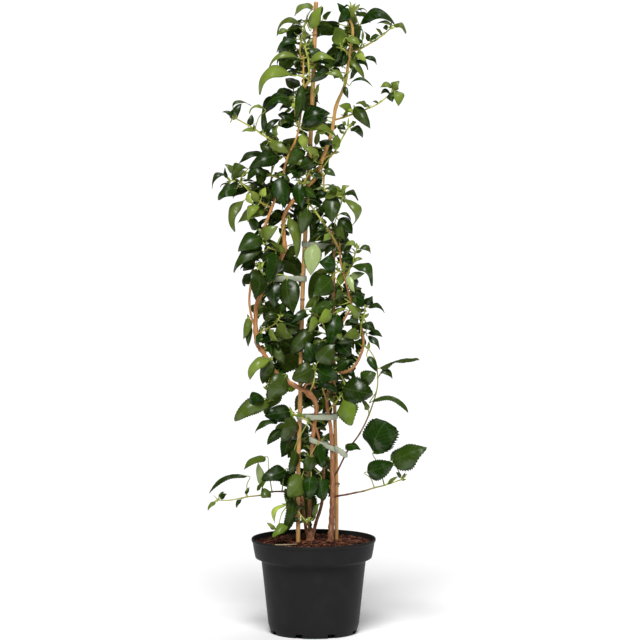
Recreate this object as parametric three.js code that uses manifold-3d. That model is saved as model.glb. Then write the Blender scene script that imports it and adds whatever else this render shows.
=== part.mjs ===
// A climbing hydrangea in a nursery pot: a plastic pot, its soil, two canes, soft ties, two woody stems and
// the leafy shoots that grow from them. Millimetres, +Z up, the origin on the floor at the pot's middle.
import * as THREE from "three";
import { mergeVertices } from "three/addons/utils/BufferGeometryUtils.js";
import Module from "manifold-3d";

const wasm = await Module();
wasm.setup();

// Driving dimensions
const POT_HEIGHT = 115;
const RIM_RADIUS = 75;
const POT_WALL = 1.6;
const POT_SIDES = 32;
const FOOT_NOTCHES = 8;
const NOTCH_WIDTH = 10;
const NOTCH_HEIGHT = 5;
const DRAIN_RADIUS = 5;
const DRAIN_RING = 38;
const SOIL_TOP = 110;
const SOIL_MOUND = 2;
const SEAT = 0.3; // clear distance between pieces that touch
const CANE_FOOT = 40;
const ROOT_DEPTH = 103;
const TIE_THICK = 0.9;
const TIE_HEIGHT = 6.5;
const BLADE_THICK = 0.65;
const PETIOLE_RADIUS = 0.75;
const EYE_HEIGHT = 1020; // heights below are as seen in the plane y = 0 from an eye at this height
const EYE_DISTANCE = 6000; // and this far in front of the plant
const BLADE_CLEAR = 3.8; // least distance between sample points of blades of different shoots
const PETIOLE_CLEAR = 2.5;
const OWN_CLEAR = 0.6; // share of these distances inside one shoot
const SHORTEST_STALK = 4; // from the middle of a shoot's stem to the base of a blade
const BACK_DEPTH = 76; // how far back the tips of the leaves may come
const BACK_SPAN = 58; // stalk and blade of a long leaf at the back
const MOST_SIDEWAYS = 0.97; // of a level direction, so that it always points back a little
// How far the foliage reaches to the left and right: [height, left, right]
const REACH = [
  [120, -30, 8], [160, -34, 24], [200, -48, 26], [240, -46, 30], [280, -56, 54], [320, -66, 54], [360, -72, 70],
  [400, -68, 66], [440, -68, 42], [470, -80, 44], [500, -70, 40], [530, -80, 40], [560, -84, 16], [580, -72, 22],
  [610, -46, 32], [640, -54, 14], [665, -40, 36], [690, -50, 50], [710, -44, 56], [740, -34, 60],
];
const SLIDES = [0, -5, 5, -10, 10, -15, 15, -21, 21, -27, 27]; // tried in turn along the line of sight

// Small helpers
const V = (x, y, z) => new THREE.Vector3(x, y, z);

// A point given by its height as seen in the plane y = 0 stands lower the further back it is.
const seen = ([x, y, z]) => V(x, y, z - (y * (EYE_HEIGHT - z)) / EYE_DISTANCE);

// Seeded draws: a linear congruential generator
let state = 7;
function draw(low, high) {
  state = (Math.imul(state, 1664525) + 1013904223) >>> 0;
  return low + ((high - low) * state) / 4294967296;
}

// Points and triangles to a solid
function solid(points, triangles) {
  const vertProperties = new Float32Array(points.length * 3);
  points.forEach((p, i) => vertProperties.set([p.x, p.y, p.z], i * 3));
  const triVerts = new Uint32Array(triangles.flat());
  return new wasm.Manifold(new wasm.Mesh({ numProp: 3, vertProperties, triVerts }));
}

// A three.js geometry to a solid, facing outwards
function solidOf(geometry) {
  const bare = geometry.index ? geometry.toNonIndexed() : geometry.clone();
  for (const name of Object.keys(bare.attributes)) if (name !== "position") bare.deleteAttribute(name);
  const merged = mergeVertices(bare, 1e-4);
  const index = merged.index.array;
  const faces = [];
  for (let i = 0; i < index.length; i += 3) {
    const [a, b, c] = [index[i], index[i + 1], index[i + 2]];
    if (a !== b && b !== c && c !== a) faces.push([a, b, c]);
  }
  const points = [];
  for (let i = 0; i < merged.attributes.position.count; i++) {
    points.push(V(0, 0, 0).fromBufferAttribute(merged.attributes.position, i));
  }
  const made = solid(points, faces);
  return made.volume() > 0 ? made : solid(points, faces.map(([a, b, c]) => [a, c, b]));
}

// The largest body of a solid, with sealed hollows and loose scraps left behind
function wholeBody(shape) {
  const bodies = shape.decompose();
  return bodies.reduce((best, b) => (b.volume() > best.volume() ? b : best), bodies[0]);
}

function geometryOf(shape) {
  const m = shape.getMesh();
  const v = new Float32Array(m.numVert * 3);
  for (let i = 0; i < m.numVert; i++) {
    v.set(m.vertProperties.subarray(i * m.numProp, i * m.numProp + 3), i * 3);
  }
  return new THREE.BufferGeometry()
    .setAttribute("position", new THREE.BufferAttribute(v, 3))
    .setIndex(new THREE.BufferAttribute(m.triVerts.slice(), 1));
}

// Rings of a round tube through points, with radius(i) at each and a section that is carried along unturned
function tubeRings(line, radius, sides) {
  const last = line.length - 1;
  let normal = null;
  return line.map((p, i) => {
    const way = line[Math.min(i + 1, last)].clone().sub(line[Math.max(i - 1, 0)]).normalize();
    if (!normal) normal = Math.abs(way.x) > 0.8 ? V(0, 1, 0) : V(1, 0, 0);
    normal = normal.clone().addScaledVector(way, -normal.dot(way)).normalize();
    const other = way.clone().cross(normal);
    return Array.from({ length: sides }, (_, j) => {
      const a = (2 * Math.PI * j) / sides;
      const spoke = normal.clone().multiplyScalar(Math.cos(a)).addScaledVector(other, Math.sin(a));
      return p.clone().addScaledVector(spoke, radius(i));
    });
  });
}

// The four corners of a tube's side face between two rings, counter-clockwise from outside
const sideFace = (ring, j, sides) => {
  const a = ring * sides + j;
  const b = ring * sides + ((j + 1) % sides);
  return [a, b, b + sides, a + sides];
};

const halves = ([a, b, c, d]) => [[a, b, c], [a, c, d]];

function tube(line, radius, sides) {
  const last = line.length - 1;
  const tris = [];
  for (let i = 0; i < last; i++) {
    for (let j = 0; j < sides; j++) tris.push(...halves(sideFace(i, j, sides)));
  }
  for (let j = 1; j < sides - 1; j++) {
    tris.push([0, j + 1, j], [last * sides, last * sides + j, last * sides + j + 1]);
  }
  return solid(tubeRings(line, radius, sides).flat(), tris);
}

const cylinder = (radius, low, high, x, y, sides) =>
  solidOf(
    new THREE.CylinderGeometry(radius, radius, high - low, sides)
      .rotateX(Math.PI / 2)
      .translate(x, y, (low + high) / 2),
  );

// The pot: a lathe with a raised floor, a collar and a foot ring that is notched between its feet
const POT_OUTSIDE = [
  [47, NOTCH_HEIGHT], [47, 0], [51.3, 0], [53, 5], [55, 12], [59, 50], [63.2, 88],
  [70, 91.5], [74, 111], [RIM_RADIUS, 112], [RIM_RADIUS, POT_HEIGHT],
];
const POT_INSIDE = [
  [RIM_RADIUS - 2.4, POT_HEIGHT], [69.2, 93.5], [63.2 - POT_WALL, 88], [59 - POT_WALL, 50],
  [52.6, NOTCH_HEIGHT + 3],
];
const potProfile = [[0, NOTCH_HEIGHT], ...POT_OUTSIDE, ...POT_INSIDE, [0, NOTCH_HEIGHT + 3]];

const lathe = (profile, sides) =>
  solidOf(
    new THREE.LatheGeometry(
      profile.map(([r, z]) => new THREE.Vector2(r, z)),
      sides,
    ).rotateX(Math.PI / 2),
  );

function pot() {
  let shape = lathe(potProfile, POT_SIDES);
  for (let i = 0; i < FOOT_NOTCHES; i++) {
    const angle = (2 * Math.PI * (i + 0.5)) / FOOT_NOTCHES + 0.04;
    const notch = new THREE.BoxGeometry(16, NOTCH_WIDTH, 2 * NOTCH_HEIGHT - 2).rotateZ(angle);
    notch.translate(50 * Math.cos(angle), 50 * Math.sin(angle), 0);
    shape = shape.subtract(solidOf(notch));
    const [dx, dy] = [DRAIN_RING * Math.cos(angle), DRAIN_RING * Math.sin(angle)];
    shape = shape.subtract(cylinder(DRAIN_RADIUS, 0, NOTCH_HEIGHT + 6, dx, dy, 8));
  }
  return shape;
}

// Canes and woody stems: points [x, y, height as seen], radius at foot and tip
const CANES = {
  cane_left: {
    points: [[-18.6, -10, 110], [-18.4, -10, 200], [-16.5, -10, 265], [-13.5, -9, 400], [-9, -8, 500],
      [-5.5, -8, 560], [-1.3, -8, 648], [3, -8, 761]],
    radius: 2.6,
    joints: [218, 405, 590, 722],
  },
  cane_right: {
    points: [[27.7, 9, 111], [27.8, 9, 183], [26, 9, 250], [24.5, 9, 330], [24, 9, 410], [23.5, 9, 494]],
    radius: 2.2,
    joints: [180, 350],
  },
};

// A branch starts at the middle of what it grows from.
const STEMS = {
  stem_left: [
    { points: [[-4, 0, ROOT_DEPTH], [-4, 0, 116], [-3, 0, 128]], radii: [6.6, 4.2], sides: 9 },
    { points: [[-5, -1, 116], [-9, -3, 125], [-11, -2, 140], [-13, 0, 160], [-16, 2, 172]],
      radii: [2.6, 1.6], sides: 5 },
    { points: [[-1, 1, 118], [3, 2, 134], [9.7, 3, 157], [12, 2, 185], [11.5, 0, 205], [8, -3, 230],
      [2.5, -7, 250]],
      radii: [2.4, 1.7], sides: 5 },
    {
      points: [[-4, 0, 120], [-5, -2, 135], [-5, -3, 165], [-6, -4, 190], [-3, -5, 205], [0, -6, 245],
        [3.2, -10, 276], [-5, -15, 291], [-13.5, -17, 295.4], [-29.5, -17, 304], [-45.5, -16, 315.6],
        [-59, -13, 337.7], [-68, -11, 352], [-69.5, -9, 379], [-67.5, -7, 400], [-55, -5, 425], [-43, -5, 445],
        [-35, -7, 466], [-36.2, -8, 492], [-33.5, -12, 509], [-18.6, -17, 530], [-7.2, -18.5, 541],
        [2.5, -17, 551.6],
        [11.8, -11, 576], [22, -7, 606], [26.8, -6, 636], [37.8, -5, 664], [42.8, -5, 699], [46.3, -4, 717],
        [46.3, -3, 731], [42, -3, 743]],
      radii: [2.7, 3.3, 3.3, 2.2],
      sides: 6,
    },
    { points: [[3.2, -10, 276], [-2, -14, 284], [-9, -16, 290], [-10, -17, 300], [-3, -17, 303], [2, -14, 296]],
      radii: [1.4, 2.0], sides: 5 },
    {
      points: [[-69, -10, 368], [-74.3, -12, 383], [-77, -12, 402], [-75, -12, 424], [-70.3, -12, 454],
        [-60, -12, 487], [-50, -12, 514], [-40, -12, 540], [-32, -12, 572], [-22.5, -14, 593], [-18, -15, 609],
        [-12, -15, 650], [-12, -14, 668], [-12, -12, 698]],
      radii: [1.5, 2.4, 1.8, 1.4],
      sides: 5,
    },
  ],
  stem_right: [
    {
      points: [[20, -4, ROOT_DEPTH], [21.3, -4, 126], [22.5, -4, 155], [23, -4, 191], [21, -3, 245],
        [16, -3, 282],
        [24, -3, 314], [38, -5, 316], [51, -6, 326], [60, -6, 350], [56, -5, 377]],
      radii: [4.6, 3.2, 2.2, 1.8],
      sides: 7,
    },
    {
      points: [[22, -3, 305], [24, -3, 330], [26, -4, 352], [33, -6, 373], [45, -8, 396], [42, -7, 411],
        [37, -6, 432],
        [32.5, -6, 449], [30.5, -7, 474]],
      radii: [1.6, 1.5],
      sides: 5,
    },
  ],
};

// Ties: each a strap round the named pieces at a height, with a slope along x and a reach in x
const TIES = {
  tie_low_slanted: { z: 234, slope: -0.42, reach: [-8, 40], round: ["cane_right", "stem_left", "stem_right"] },
  tie_low: {
    z: 263, slope: -0.04, reach: [-30, 40], round: ["cane_left", "cane_right", "stem_left", "stem_right"],
  },
  tie_middle: { z: 430, slope: 0.0, reach: [-62, 0], round: ["cane_left", "stem_left"] },
  tie_high: { z: 470, slope: -0.15, reach: [-20, 35], round: ["cane_left", "cane_right"] },
};

// Leafy shoots. path: [x, y, height as seen], starting at the middle of the stem that carries it.
// leaves: [base x, y, height, tip x, y, height, width, arch, roll, kind]. Arch is how far the midrib rises off
// its chord, roll turns the upper face towards the nearer outside, in degrees. Kinds: d dark, m middle green,
// y young and p pale, all smooth; t dark, u light and r dark and blunt, all toothed.
const SHOOTS = {
  top_left: {
    from: "stem_left", radius: 1.3,
    path: [[-12, -12, 692], [-16.5, -12, 698], [-14.5, -10, 716], [-9, -8, 738]],
    leaves: [
      [-1, -10, 755, -26, -20, 746, 13, 9, 28, "m"], [-3, -12, 729, 9, -18, 757, 15, 2, 70, "m"],
      [4, -6, 742, 12, 0, 756, 7, 1, 40, "d"], [11, -2, 741, 21, 4, 750, 9, 1, 60, "d"],
      [6, -4, 734, 23, 2, 731, 8, 4, 30, "d"], [-14, -8, 732, -47, -14, 721, 12, 18, 25, "m"],
      [-30, 0, 727, -45, 4, 720, 9, 5, 40, "m"], [-18, -2, 733, -34, 4, 710, 17, 3, 60, "d"],
      [-16, -10, 709, -46, -18, 700, 11, 12, 25, "d"], [-11, -15, 713, -12, -16, 733, 16, 2, 90, "y"],
      [2, 0, 728, 9, 10, 720, 9, 2, 60, "d"], [-16, 0, 722, -26, 20, 730, 14, 6, 20, "d"],
    ],
  },
  top_green: {
    from: "stem_left", radius: 1.7,
    path: [[-12, -15, 655], [-5, -17, 668], [-5.4, -17, 682], [-7, -17, 695], [-10.7, -17, 708]],
    leaves: [
      [-18, -18, 694, -57, -24, 681, 11, 13, 28, "m"], [-26, -20, 674, -70, -30, 650, 21, 25, 36, "m"],
      [-4, -20, 691, 27, -28, 692, 15, 12, 40, "m"], [2, -16, 651, 7, -22, 664, 8, 1, 70, "y"],
    ],
  },
  crown_right: {
    from: "stem_left", radius: 1.2,
    path: [[42, -3, 742], [45, -2, 748], [46, 0, 753]],
    leaves: [
      [42, -6, 752, 30, -13, 735, 17, 4, 60, "d"], [44, 3, 753, 34, 7, 752, 7, 5, 15, "m"],
      [43, -6, 744, 55, -14, 758, 12, 2, 60, "y"], [51, 1, 750, 65, 5, 750, 7, 3, 10, "m"],
      [56, -8, 735, 101, -18, 737, 20, 17, 34, "d"], [50, 4, 745, 70, 22, 738, 14, 6, 30, "d"],
    ],
  },
  tip_right: {
    from: "stem_left", radius: 1.3,
    path: [[45, -4, 700], [55, -8, 704.7], [70, -12, 713], [82, -14, 721], [92, -16, 729.5]],
    leaves: [
      [95, -17, 733, 111, -22, 723, 10, 6, 28, "m"], [93, -16, 733, 75, -22, 736, 7, 4, 25, "m"],
      [89, -16, 731, 82, -20, 730, 7, 2, 60, "d"], [68, -12, 716, 79, -18, 721, 8, 2, 50, "d"],
      [66, -11, 714, 61, -17, 726, 8, 2, 50, "d"], [58, -10, 714, 57, -18, 731, 8, 1, 60, "y"],
      [53, -10, 701, 63, -22, 690, 10, 3, 55, "y"], [60, -8, 694, 77, -12, 686, 9, 5, 20, "d"],
      [50, -6, 691, 67, -10, 680, 9, 5, 20, "d"],
    ],
  },
  high_middle: {
    from: "stem_left", radius: 1.2,
    path: [[43, -5, 699], [38, -9, 703], [33, -11, 706]],
    leaves: [
      [33, -11, 706, 26, -22, 731, 20, 3, -65, "m"], [40, -12, 717, 57, -18, 709, 11, 3, 50, "m"],
      [33, -9, 703, 26, -14, 689, 9, 2, 60, "d"], [40, -10, 698, 33, -16, 683, 10, 2, 60, "d"],
    ],
  },
  high_arches: {
    from: "stem_left", radius: 1.2,
    path: [[37.8, -5, 664], [36, -11, 668], [35, -15, 670]],
    leaves: [
      [35, -15, 666, 9, -26, 674, 12, 12, 35, "m"], [18, -18, 681, -4, -30, 663, 13, 6, 50, "d"],
      [44, -8, 663, 71, -14, 660, 6, 9, 15, "d"], [51, -8, 684, 43, -14, 668, 11, 2, 60, "d"],
      [37, -10, 660, 41, -16, 645, 7, 2, 50, "d"],
    ],
  },
  left_dome: {
    from: "stem_left", radius: 1.3,
    path: [[-18, -15, 612], [-20, -20, 617], [-22, -21, 636], [-16, -20, 655]],
    leaves: [
      [-26, -22, 638, -60, -30, 636, 22, 16, 38, "d"], [-13, -21, 661, -20, -29, 615, 13, 3, 40, "d"],
      [-19, -22, 645, -26, -27, 632, 8, 1, 60, "y"], [-21, -21, 618, -42, -30, 628, 15, 3, 62, "t"],
      [-14, -24, 616, 22, -36, 628, 28, 14, 50, "d"], [-14, -22, 612, 31, -32, 603, 14, 12, 35, "m"],
      [-12, -20, 603, -9, -29, 584, 14, 2, 12, "y"], [-24, -10, 640, -44, 8, 650, 18, 7, 25, "d"],
    ],
  },
  left_arm: {
    from: "stem_left", radius: 1.3,
    path: [[-27, -13, 583], [-40, -18, 590], [-62, -24, 603], [-70, -26, 609], [-93, -30, 622]],
    leaves: [
      [-68, -26, 607, -86, -31, 606, 6, 3, 30, "m"], [-93, -30, 622, -109, -34, 630, 6, 3, 35, "d"],
      [-93, -31, 623, -73, -37, 639, 10, 17, 25, "d"], [-77, -27, 613, -73, -24, 627, 8, 1, 60, "d"],
      [-57, -22, 603, -38, -16, 621, 10, 8, 30, "d"], [-48, -21, 600, -42, -29, 615, 12, 2, 60, "m"],
      [-57, -23, 602, -60, -23, 638, 8, 1, 30, "d"], [-59, -24, 633, -78, -29, 628, 8, 8, 25, "m"],
      [-52, -21, 594, -27, -29, 581, 14, 3, 60, "m"],
    ],
  },
  left_big: {
    from: "stem_left", radius: 1.3,
    path: [[-37, -12, 548], [-43, -17, 551], [-51, -20, 553]],
    leaves: [
      [-41, -18, 576, -79, -32, 561, 22, 12, 45, "d"], [-46, -14, 580, -66, -10, 592, 13, 4, 50, "d"],
      [-51, -20, 553, -81, -30, 546, 20, 16, 28, "d"], [-40, -19, 551, -33, -30, 514, 24, 2, 15, "d"],
      [-60, -14, 556, -67, -17, 540, 10, 2, 60, "d"],
    ],
  },
  far_left: {
    from: "stem_left", radius: 1.4,
    path: [[-50, -12, 514], [-64, -18, 522], [-76, -22, 534], [-88, -24, 546], [-99, -26, 547]],
    leaves: [
      [-101, -26, 551, -121, -33, 537, 10, 12, 20, "d"], [-104, -25, 550, -106, -25, 563, 6, 1, 30, "d"],
      [-99, -26, 543, -113, -28, 540, 6, 2, 20, "d"], [-93, -26, 538, -115, -34, 524, 18, 7, 52, "d"],
      [-80, -24, 562, -98, -32, 549, 14, 12, 35, "d"], [-84, -24, 523, -95, -35, 484, 15, 13, 20, "m"],
      [-66, -20, 517, -79, -31, 497, 14, 9, 35, "m"], [-66, -22, 523, -75, -27, 535, 11, 2, 80, "y"],
      [-62, -21, 528, -57, -26, 539, 10, 2, 80, "y"], [-80, -25, 531, -72, -33, 519, 10, 2, 60, "y"],
      [-58, -14, 527, -46, -10, 533, 10, 2, 50, "d"], [-88, -18, 540, -104, 2, 532, 15, 6, 30, "d"],
      [-58, -6, 512, -92, -8, 496, 22, 8, 24, "m"],
    ],
  },
  centre_upper: {
    from: "stem_left", radius: 1.2,
    path: [[-12, -18, 537], [-12, -23, 543], [-6, -25, 556], [2, -25, 572]],
    leaves: [
      [3, -25, 572, -17, -34, 561, 18, 4, 62, "d"], [-11, -25, 584, -31, -31, 566, 16, 3, 62, "d"],
      [5, -24, 578, -12, -32, 587, 12, 3, 50, "y"], [-18, -23, 544, -14, -33, 513, 17, 2, 10, "d"],
      [-18, -23, 551, -30, -33, 560, 12, 3, 55, "d"], [-12, -24, 538, 4, -32, 527, 14, 3, 50, "d"],
    ],
  },
  left_low_knot: {
    from: "stem_left", radius: 1.4,
    path: [[-35, -8, 461], [-45, -14, 464], [-54, -18, 467], [-62, -20, 474]],
    leaves: [
      [-62, -20, 478, -91, -32, 462, 24, 7, 58, "d"], [-62, -17, 468, -98, -26, 437, 20, 11, 42, "d"],
      [-60, -12, 462, -89, -16, 440, 15, 7, 40, "d"], [-60, -21, 477, -42, -30, 492, 16, 3, 62, "m"],
      [-58, -20, 479, -66, -25, 490, 11, 2, 80, "m"], [-67, -17, 488, -77, -12, 505, 15, 2, 60, "d"],
      [-29, -14, 503, -18, -26, 451, 16, 11, -12, "m"], [-45, -16, 462, -54, -31, 424, 34, 4, 74, "d"],
    ],
  },
  left_lower_bunch: {
    from: "stem_left", radius: 1.3,
    path: [[-64, -7, 409], [-62, -14, 418], [-62, -19, 434], [-66, -22, 443]],
    leaves: [
      [-68, -22, 443, -69, -33, 405, 28, 4, 76, "d"], [-70, -20, 447, -85, -24, 438, 12, 3, 50, "d"],
      [-48, -18, 425, -47, -29, 394, 22, 2, 20, "d"], [-32, -20, 429, -24, -33, 386, 28, 3, 15, "d"],
      [-64, -24, 441, -59, -29, 450, 7, 1, 60, "y"], [-63, -23, 441, -68, -28, 449, 6, 1, 60, "y"],
      [-70, -6, 430, -86, 12, 420, 18, 7, 30, "d"],
    ],
  },
  twig_left: {
    from: "stem_left", radius: 1.2,
    path: [[-69, -11, 361], [-61.5, -14, 366], [-54, -16, 370], [-45, -19, 376], [-40, -20, 384]],
    leaves: [
      [-41, -20, 386, -60, -27, 382, 12, 4, 40, "d"], [-39, -20, 388, -34, -25, 402, 12, 2, 80, "d"],
      [-38, -20, 385, -23, -29, 384, 9, 2, 40, "d"], [-45, -20, 375, -26, -31, 356, 20, 4, 62, "m"],
      [-52, -17, 368, -44, -27, 352, 15, 3, 60, "m"], [-62, -14, 364, -70, -8, 346, 10, 2, 50, "d"],
      [-20, -14, 376, -46, -16, 352, 20, 5, 50, "t"],
    ],
  },
  left_fringe: {
    from: "stem_left", radius: 1.1,
    path: [[-74.3, -12, 383], [-78, -18, 382]],
    leaves: [
      [-77, -20, 383, -84, -27, 355, 10, 4, 55, "m"], [-75, -17, 371, -78, -22, 346, 8, 3, 40, "d"],
    ],
  },
  right_arm: {
    from: "stem_left", radius: 1.2,
    path: [[25, -6, 619], [36, -10, 623], [50, -14, 628], [66, -17, 634], [78, -19, 640], [93, -22, 652]],
    leaves: [
      [49, -15, 636, 69, -29, 610, 16, 5, 55, "d"], [66, -17, 635, 50, -23, 640, 10, 5, 35, "m"],
      [46, -12, 631, 30, -19, 637, 11, 2, 50, "m"], [94, -22, 654, 102, -25, 667, 12, 2, 50, "m"],
      [93, -20, 659, 78, -25, 659, 9, 6, 30, "m"], [91, -19, 652, 79, -23, 651, 7, 5, 25, "d"],
      [92, -23, 654, 94, -30, 641, 11, 2, 60, "d"], [100, -24, 654, 102, -34, 635, 14, 7, 40, "m"],
    ],
  },
  right_branch: {
    from: "stem_left", radius: 1.3,
    path: [[11.5, -11, 574], [24, -14, 580], [31, -14, 592], [37, -12, 603], [42, -10, 612]],
    leaves: [
      [29, -15, 613, 39, -20, 608, 9, 3, 40, "d"], [43, -11, 610, 60, -19, 598, 12, 8, 32, "d"],
      [43, -10, 613, 51, -13, 618, 7, 1, 50, "m"], [40, -10, 613, 34, -13, 618, 7, 1, 50, "m"],
      [29, -15, 592, 12, -22, 590, 12, 3, 25, "d"], [27, -15, 584, 28, -23, 604, 11, 2, -60, "m"],
      [14, -17, 606, 2, -23, 604, 8, 2, 40, "m"], [12, -15, 560, 27, -19, 552, 10, 4, 30, "d"],
    ],
  },
  centre_green: {
    from: "stem_right", radius: 1.6,
    path: [[31.5, -7, 464], [24.5, -12, 477], [17, -15, 489], [11, -17, 497], [3.7, -18, 508],
      [-4.2, -19, 518], [-8, -20, 523]],
    leaves: [
      [14, -19, 492, 4, -26, 486, 8, 2, 40, "d"], [17, -18, 486, -3, -27, 478, 9, 2, 35, "d"],
      [20, -17, 483, 12, -25, 474, 10, 2, 50, "m"], [1, -22, 470, -4, -35, 433, 23, 3, 10, "p"],
      [-7, -17, 514, -15, -21, 482, 22, 3, 70, "d"], [-8, -22, 525, -22, -30, 521, 11, 3, 50, "d"],
    ],
  },
  right_middle: {
    from: "stem_left", radius: 1.3,
    path: [[5, -15, 560], [12, -17, 553], [13, -17, 536], [24, -17, 529], [35, -16, 528]],
    leaves: [
      [13, -19, 528, 37, -28, 533, 11, 3, 45, "m"], [28, -16, 536, 14, -24, 538, 14, 5, 45, "d"],
      [24, -19, 530, 22, -33, 496, 22, 3, 5, "d"], [33, -17, 533, 42, -23, 542, 10, 2, 55, "y"],
      [36, -16, 531, 54, -21, 523, 11, 9, 25, "d"], [35, -17, 526, 50, -26, 489, 16, 17, 10, "m"],
      [31, -15, 507, 46, -22, 499, 6, 5, 20, "d"], [30, -13, 501, 48, -18, 483, 18, 4, 60, "d"],
      [26, -16, 492, 37, -25, 475, 14, 3, 60, "d"],
    ],
  },
  right_sprig: {
    from: "stem_right", radius: 1.2,
    path: [[37, -6, 433], [43, -11, 441], [47, -12, 450], [50, -13, 460], [52, -14, 466]],
    leaves: [
      [52, -14, 468, 36, -21, 470, 11, 7, 35, "m"], [54, -15, 466, 70, -23, 459, 11, 8, 30, "d"],
      [47, -13, 455, 32, -21, 452, 16, 4, 60, "d"], [46, -12, 444, 72, -22, 419, 17, 17, 20, "d"],
      [43, -13, 430, 61, -20, 436, 11, 2, 45, "p"], [41, -14, 432, 48, -21, 412, 10, 2, 60, "p"],
    ],
  },
  centre_dark: {
    from: "stem_right", radius: 1.2,
    path: [[36, -6, 437], [30, -11, 438], [23, -15, 434]],
    leaves: [
      [23, -16, 432, -1, -32, 409, 27, 4, 66, "d"], [27, -16, 446, 6, -24, 449, 22, 5, 55, "d"],
      [34, -12, 415, 26, -21, 404, 13, 2, 60, "d"],
      [12, 2, 440, -8, 0, 404, 20, 4, 60, "d"],
    ],
  },
  right_loop_tip: {
    from: "stem_right", radius: 1.3,
    path: [[57, -5, 372], [60, -10, 382], [62, -12, 395]],
    leaves: [
      [61, -14, 397, 47, -23, 409, 14, 3, 52, "d"], [62, -14, 396, 71, -18, 408, 12, 2, 85, "d"],
      [65, -12, 395, 87, -20, 389, 12, 8, 30, "d"], [56, -14, 385, 40, -24, 398, 16, 3, 60, "m"],
      [54, -13, 380, 41, -21, 378, 12, 3, 50, "d"], [58, -11, 375, 76, -17, 363, 14, 4, 40, "d"],
      [66, -9, 364, 83, -15, 359, 9, 3, 35, "d"], [66, -9, 360, 81, -15, 344, 10, 3, 35, "d"],
      [55, -14, 362, 35, -23, 358, 15, 7, 48, "m"],
    ],
  },
  centre_pale: {
    from: "stem_right", radius: 1.1,
    path: [[16.5, -3, 280], [11, -14, 300], [17, -15, 330], [19, -16, 349], [15.7, -20, 362], [10, -22, 377],
      [3.3, -22, 387]],
    leaves: [
      [24, -20, 397, -5, -30, 390, 23, 8, 48, "d"], [20, -21, 391, 6, -31, 376, 18, 3, 70, "m"],
      [4, -22, 387, -5, -31, 364, 13, 2, 62, "m"], [28, -16, 387, 20, -30, 345, 22, 4, 5, "d"],
      [-9, -22, 391, -28, -30, 375, 11, 4, 42, "d"],
      [14, -14, 354, 6, -18, 314, 34, 4, 75, "t"], [-2, -14, 364, -30, -16, 338, 24, 4, 60, "t"],
      [28, -12, 354, 46, -14, 336, 20, 3, 60, "t"],
    ],
  },
  left_low_arches: {
    from: "stem_left", radius: 1.2,
    path: [[-45.5, -16, 315.6], [-52, -22, 310], [-55, -24, 295], [-52, -24, 284]],
    leaves: [
      [-52, -22, 332, -79, -31, 305, 16, 12, 20, "m"], [-51, -8, 331, -62, -2, 301, 18, 3, 65, "d"],
      [-34, -24, 311, -54, -35, 283, 28, 3, 72, "t"], [-59, -24, 284, -80, -31, 274, 18, 14, 30, "t"],
      [-53, -24, 281, -96, -34, 256, 22, 10, 40, "u"],
    ],
  },
  left_low_dark: {
    from: "stem_left", radius: 1.1,
    path: [[1, -7, 250], [-6, -15, 256], [-14, -18, 261], [-26, -19, 267]],
    leaves: [
      [-26, -19, 269, -59, -29, 264, 22, 3, 56, "t"], [-43, -20, 257, -74, -28, 244, 13, 6, 22, "t"],
      [-24, -19, 262, -37, -30, 231, 26, 3, 74, "t"], [-38, -18, 247, -57, -26, 229, 13, 3, 40, "t"],
      [-33, -16, 240, -37, -24, 212, 18, 3, 75, "t"], [-22, -17, 222, -29, -27, 192, 14, 3, 66, "t"],
    ],
  },
  centre_low: {
    from: "stem_left", radius: 1.3,
    path: [[-4, -15, 293], [0, -22, 304], [2, -24, 318]],
    leaves: [
      [-1, -25, 322, -26, -36, 308, 26, 3, 70, "t"], [5, -25, 320, 28, -36, 309, 28, 3, 70, "t"],
      [0, -24, 327, -9, -32, 353, 26, 3, 76, "d"], [5, -22, 328, 25, -30, 351, 24, 3, 74, "d"],
    ],
  },
  right_low: {
    from: "stem_right", radius: 1.2,
    path: [[18, -3, 270], [26, -10, 279], [33, -14, 288], [38, -14, 300]],
    leaves: [
      [35, -17, 297, 72, -29, 289, 34, 6, 62, "t"], [36, -16, 284, 45, -30, 251, 30, 4, 76, "u"],
      [56, -13, 305, 75, -20, 315, 19, 3, 68, "t"], [27, -14, 321, 46, -20, 333, 14, 2, 60, "d"],
      [30, -8, 290, 50, 14, 282, 24, 6, 30, "t"],
    ],
  },
  thin_right: {
    from: "stem_right", radius: 1.1,
    path: [[22.5, -4, 188], [29, -8, 197], [41.5, -9, 222], [55.5, -9, 242], [66.6, -8, 265],
      [75.3, -8, 292], [77, -8, 309],
      [74.3, -8, 330], [66, -8, 345]],
    leaves: [
      [80, -9, 322, 126, -22, 336, 24, 1, -8, "t"], [79, -9, 313, 96, -16, 308, 13, 10, 25, "t"],
      [70, -10, 281, 116, -20, 269, 16, 10, -4, "t"], [66, -10, 271, 58, -14, 283, 9, 2, 50, "m"],
      [38, -12, 226, 58, -18, 224, 12, 4, 40, "t"], [65, -9, 335, 76, -13, 316, 10, 3, 50, "d"],
    ],
  },
  runner_left: {
    from: "stem_left", radius: 1.1,
    path: [[-15.5, 2, 170], [-26, 0, 171.5], [-38, -4, 171.5], [-50, -8, 171], [-63, -11, 167], [-80, -14, 165],
      [-100, -17, 161], [-115, -19, 161]],
    leaves: [
      [-58, -14, 213, -86, -25, 200, 14, 5, 24, "u"], [-62, -16, 179, -67, -22, 208, 11, 1, 60, "p"],
      [-60, -16, 183, -69, -25, 172, 12, 1, -60, "u"], [-34, -10, 198, -63, -23, 187, 20, 3, 56, "t"],
      [-80, -18, 190, -128.5, -26, 170, 15, 9, -6, "t"], [-53, -14, 172, -63, -23, 165, 14, 2, 60, "u"],
      [-82, -14, 168, -77, -14, 177, 5, 1, 40, "d"], [-87, -15, 162, -93, -18, 151, 6, 2, 30, "d"],
      [-115, -19, 163, -107, -19, 172, 5, 1, 40, "m"], [-112, -19, 163, -104, -23, 169, 7, 1, 50, "d"],
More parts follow.
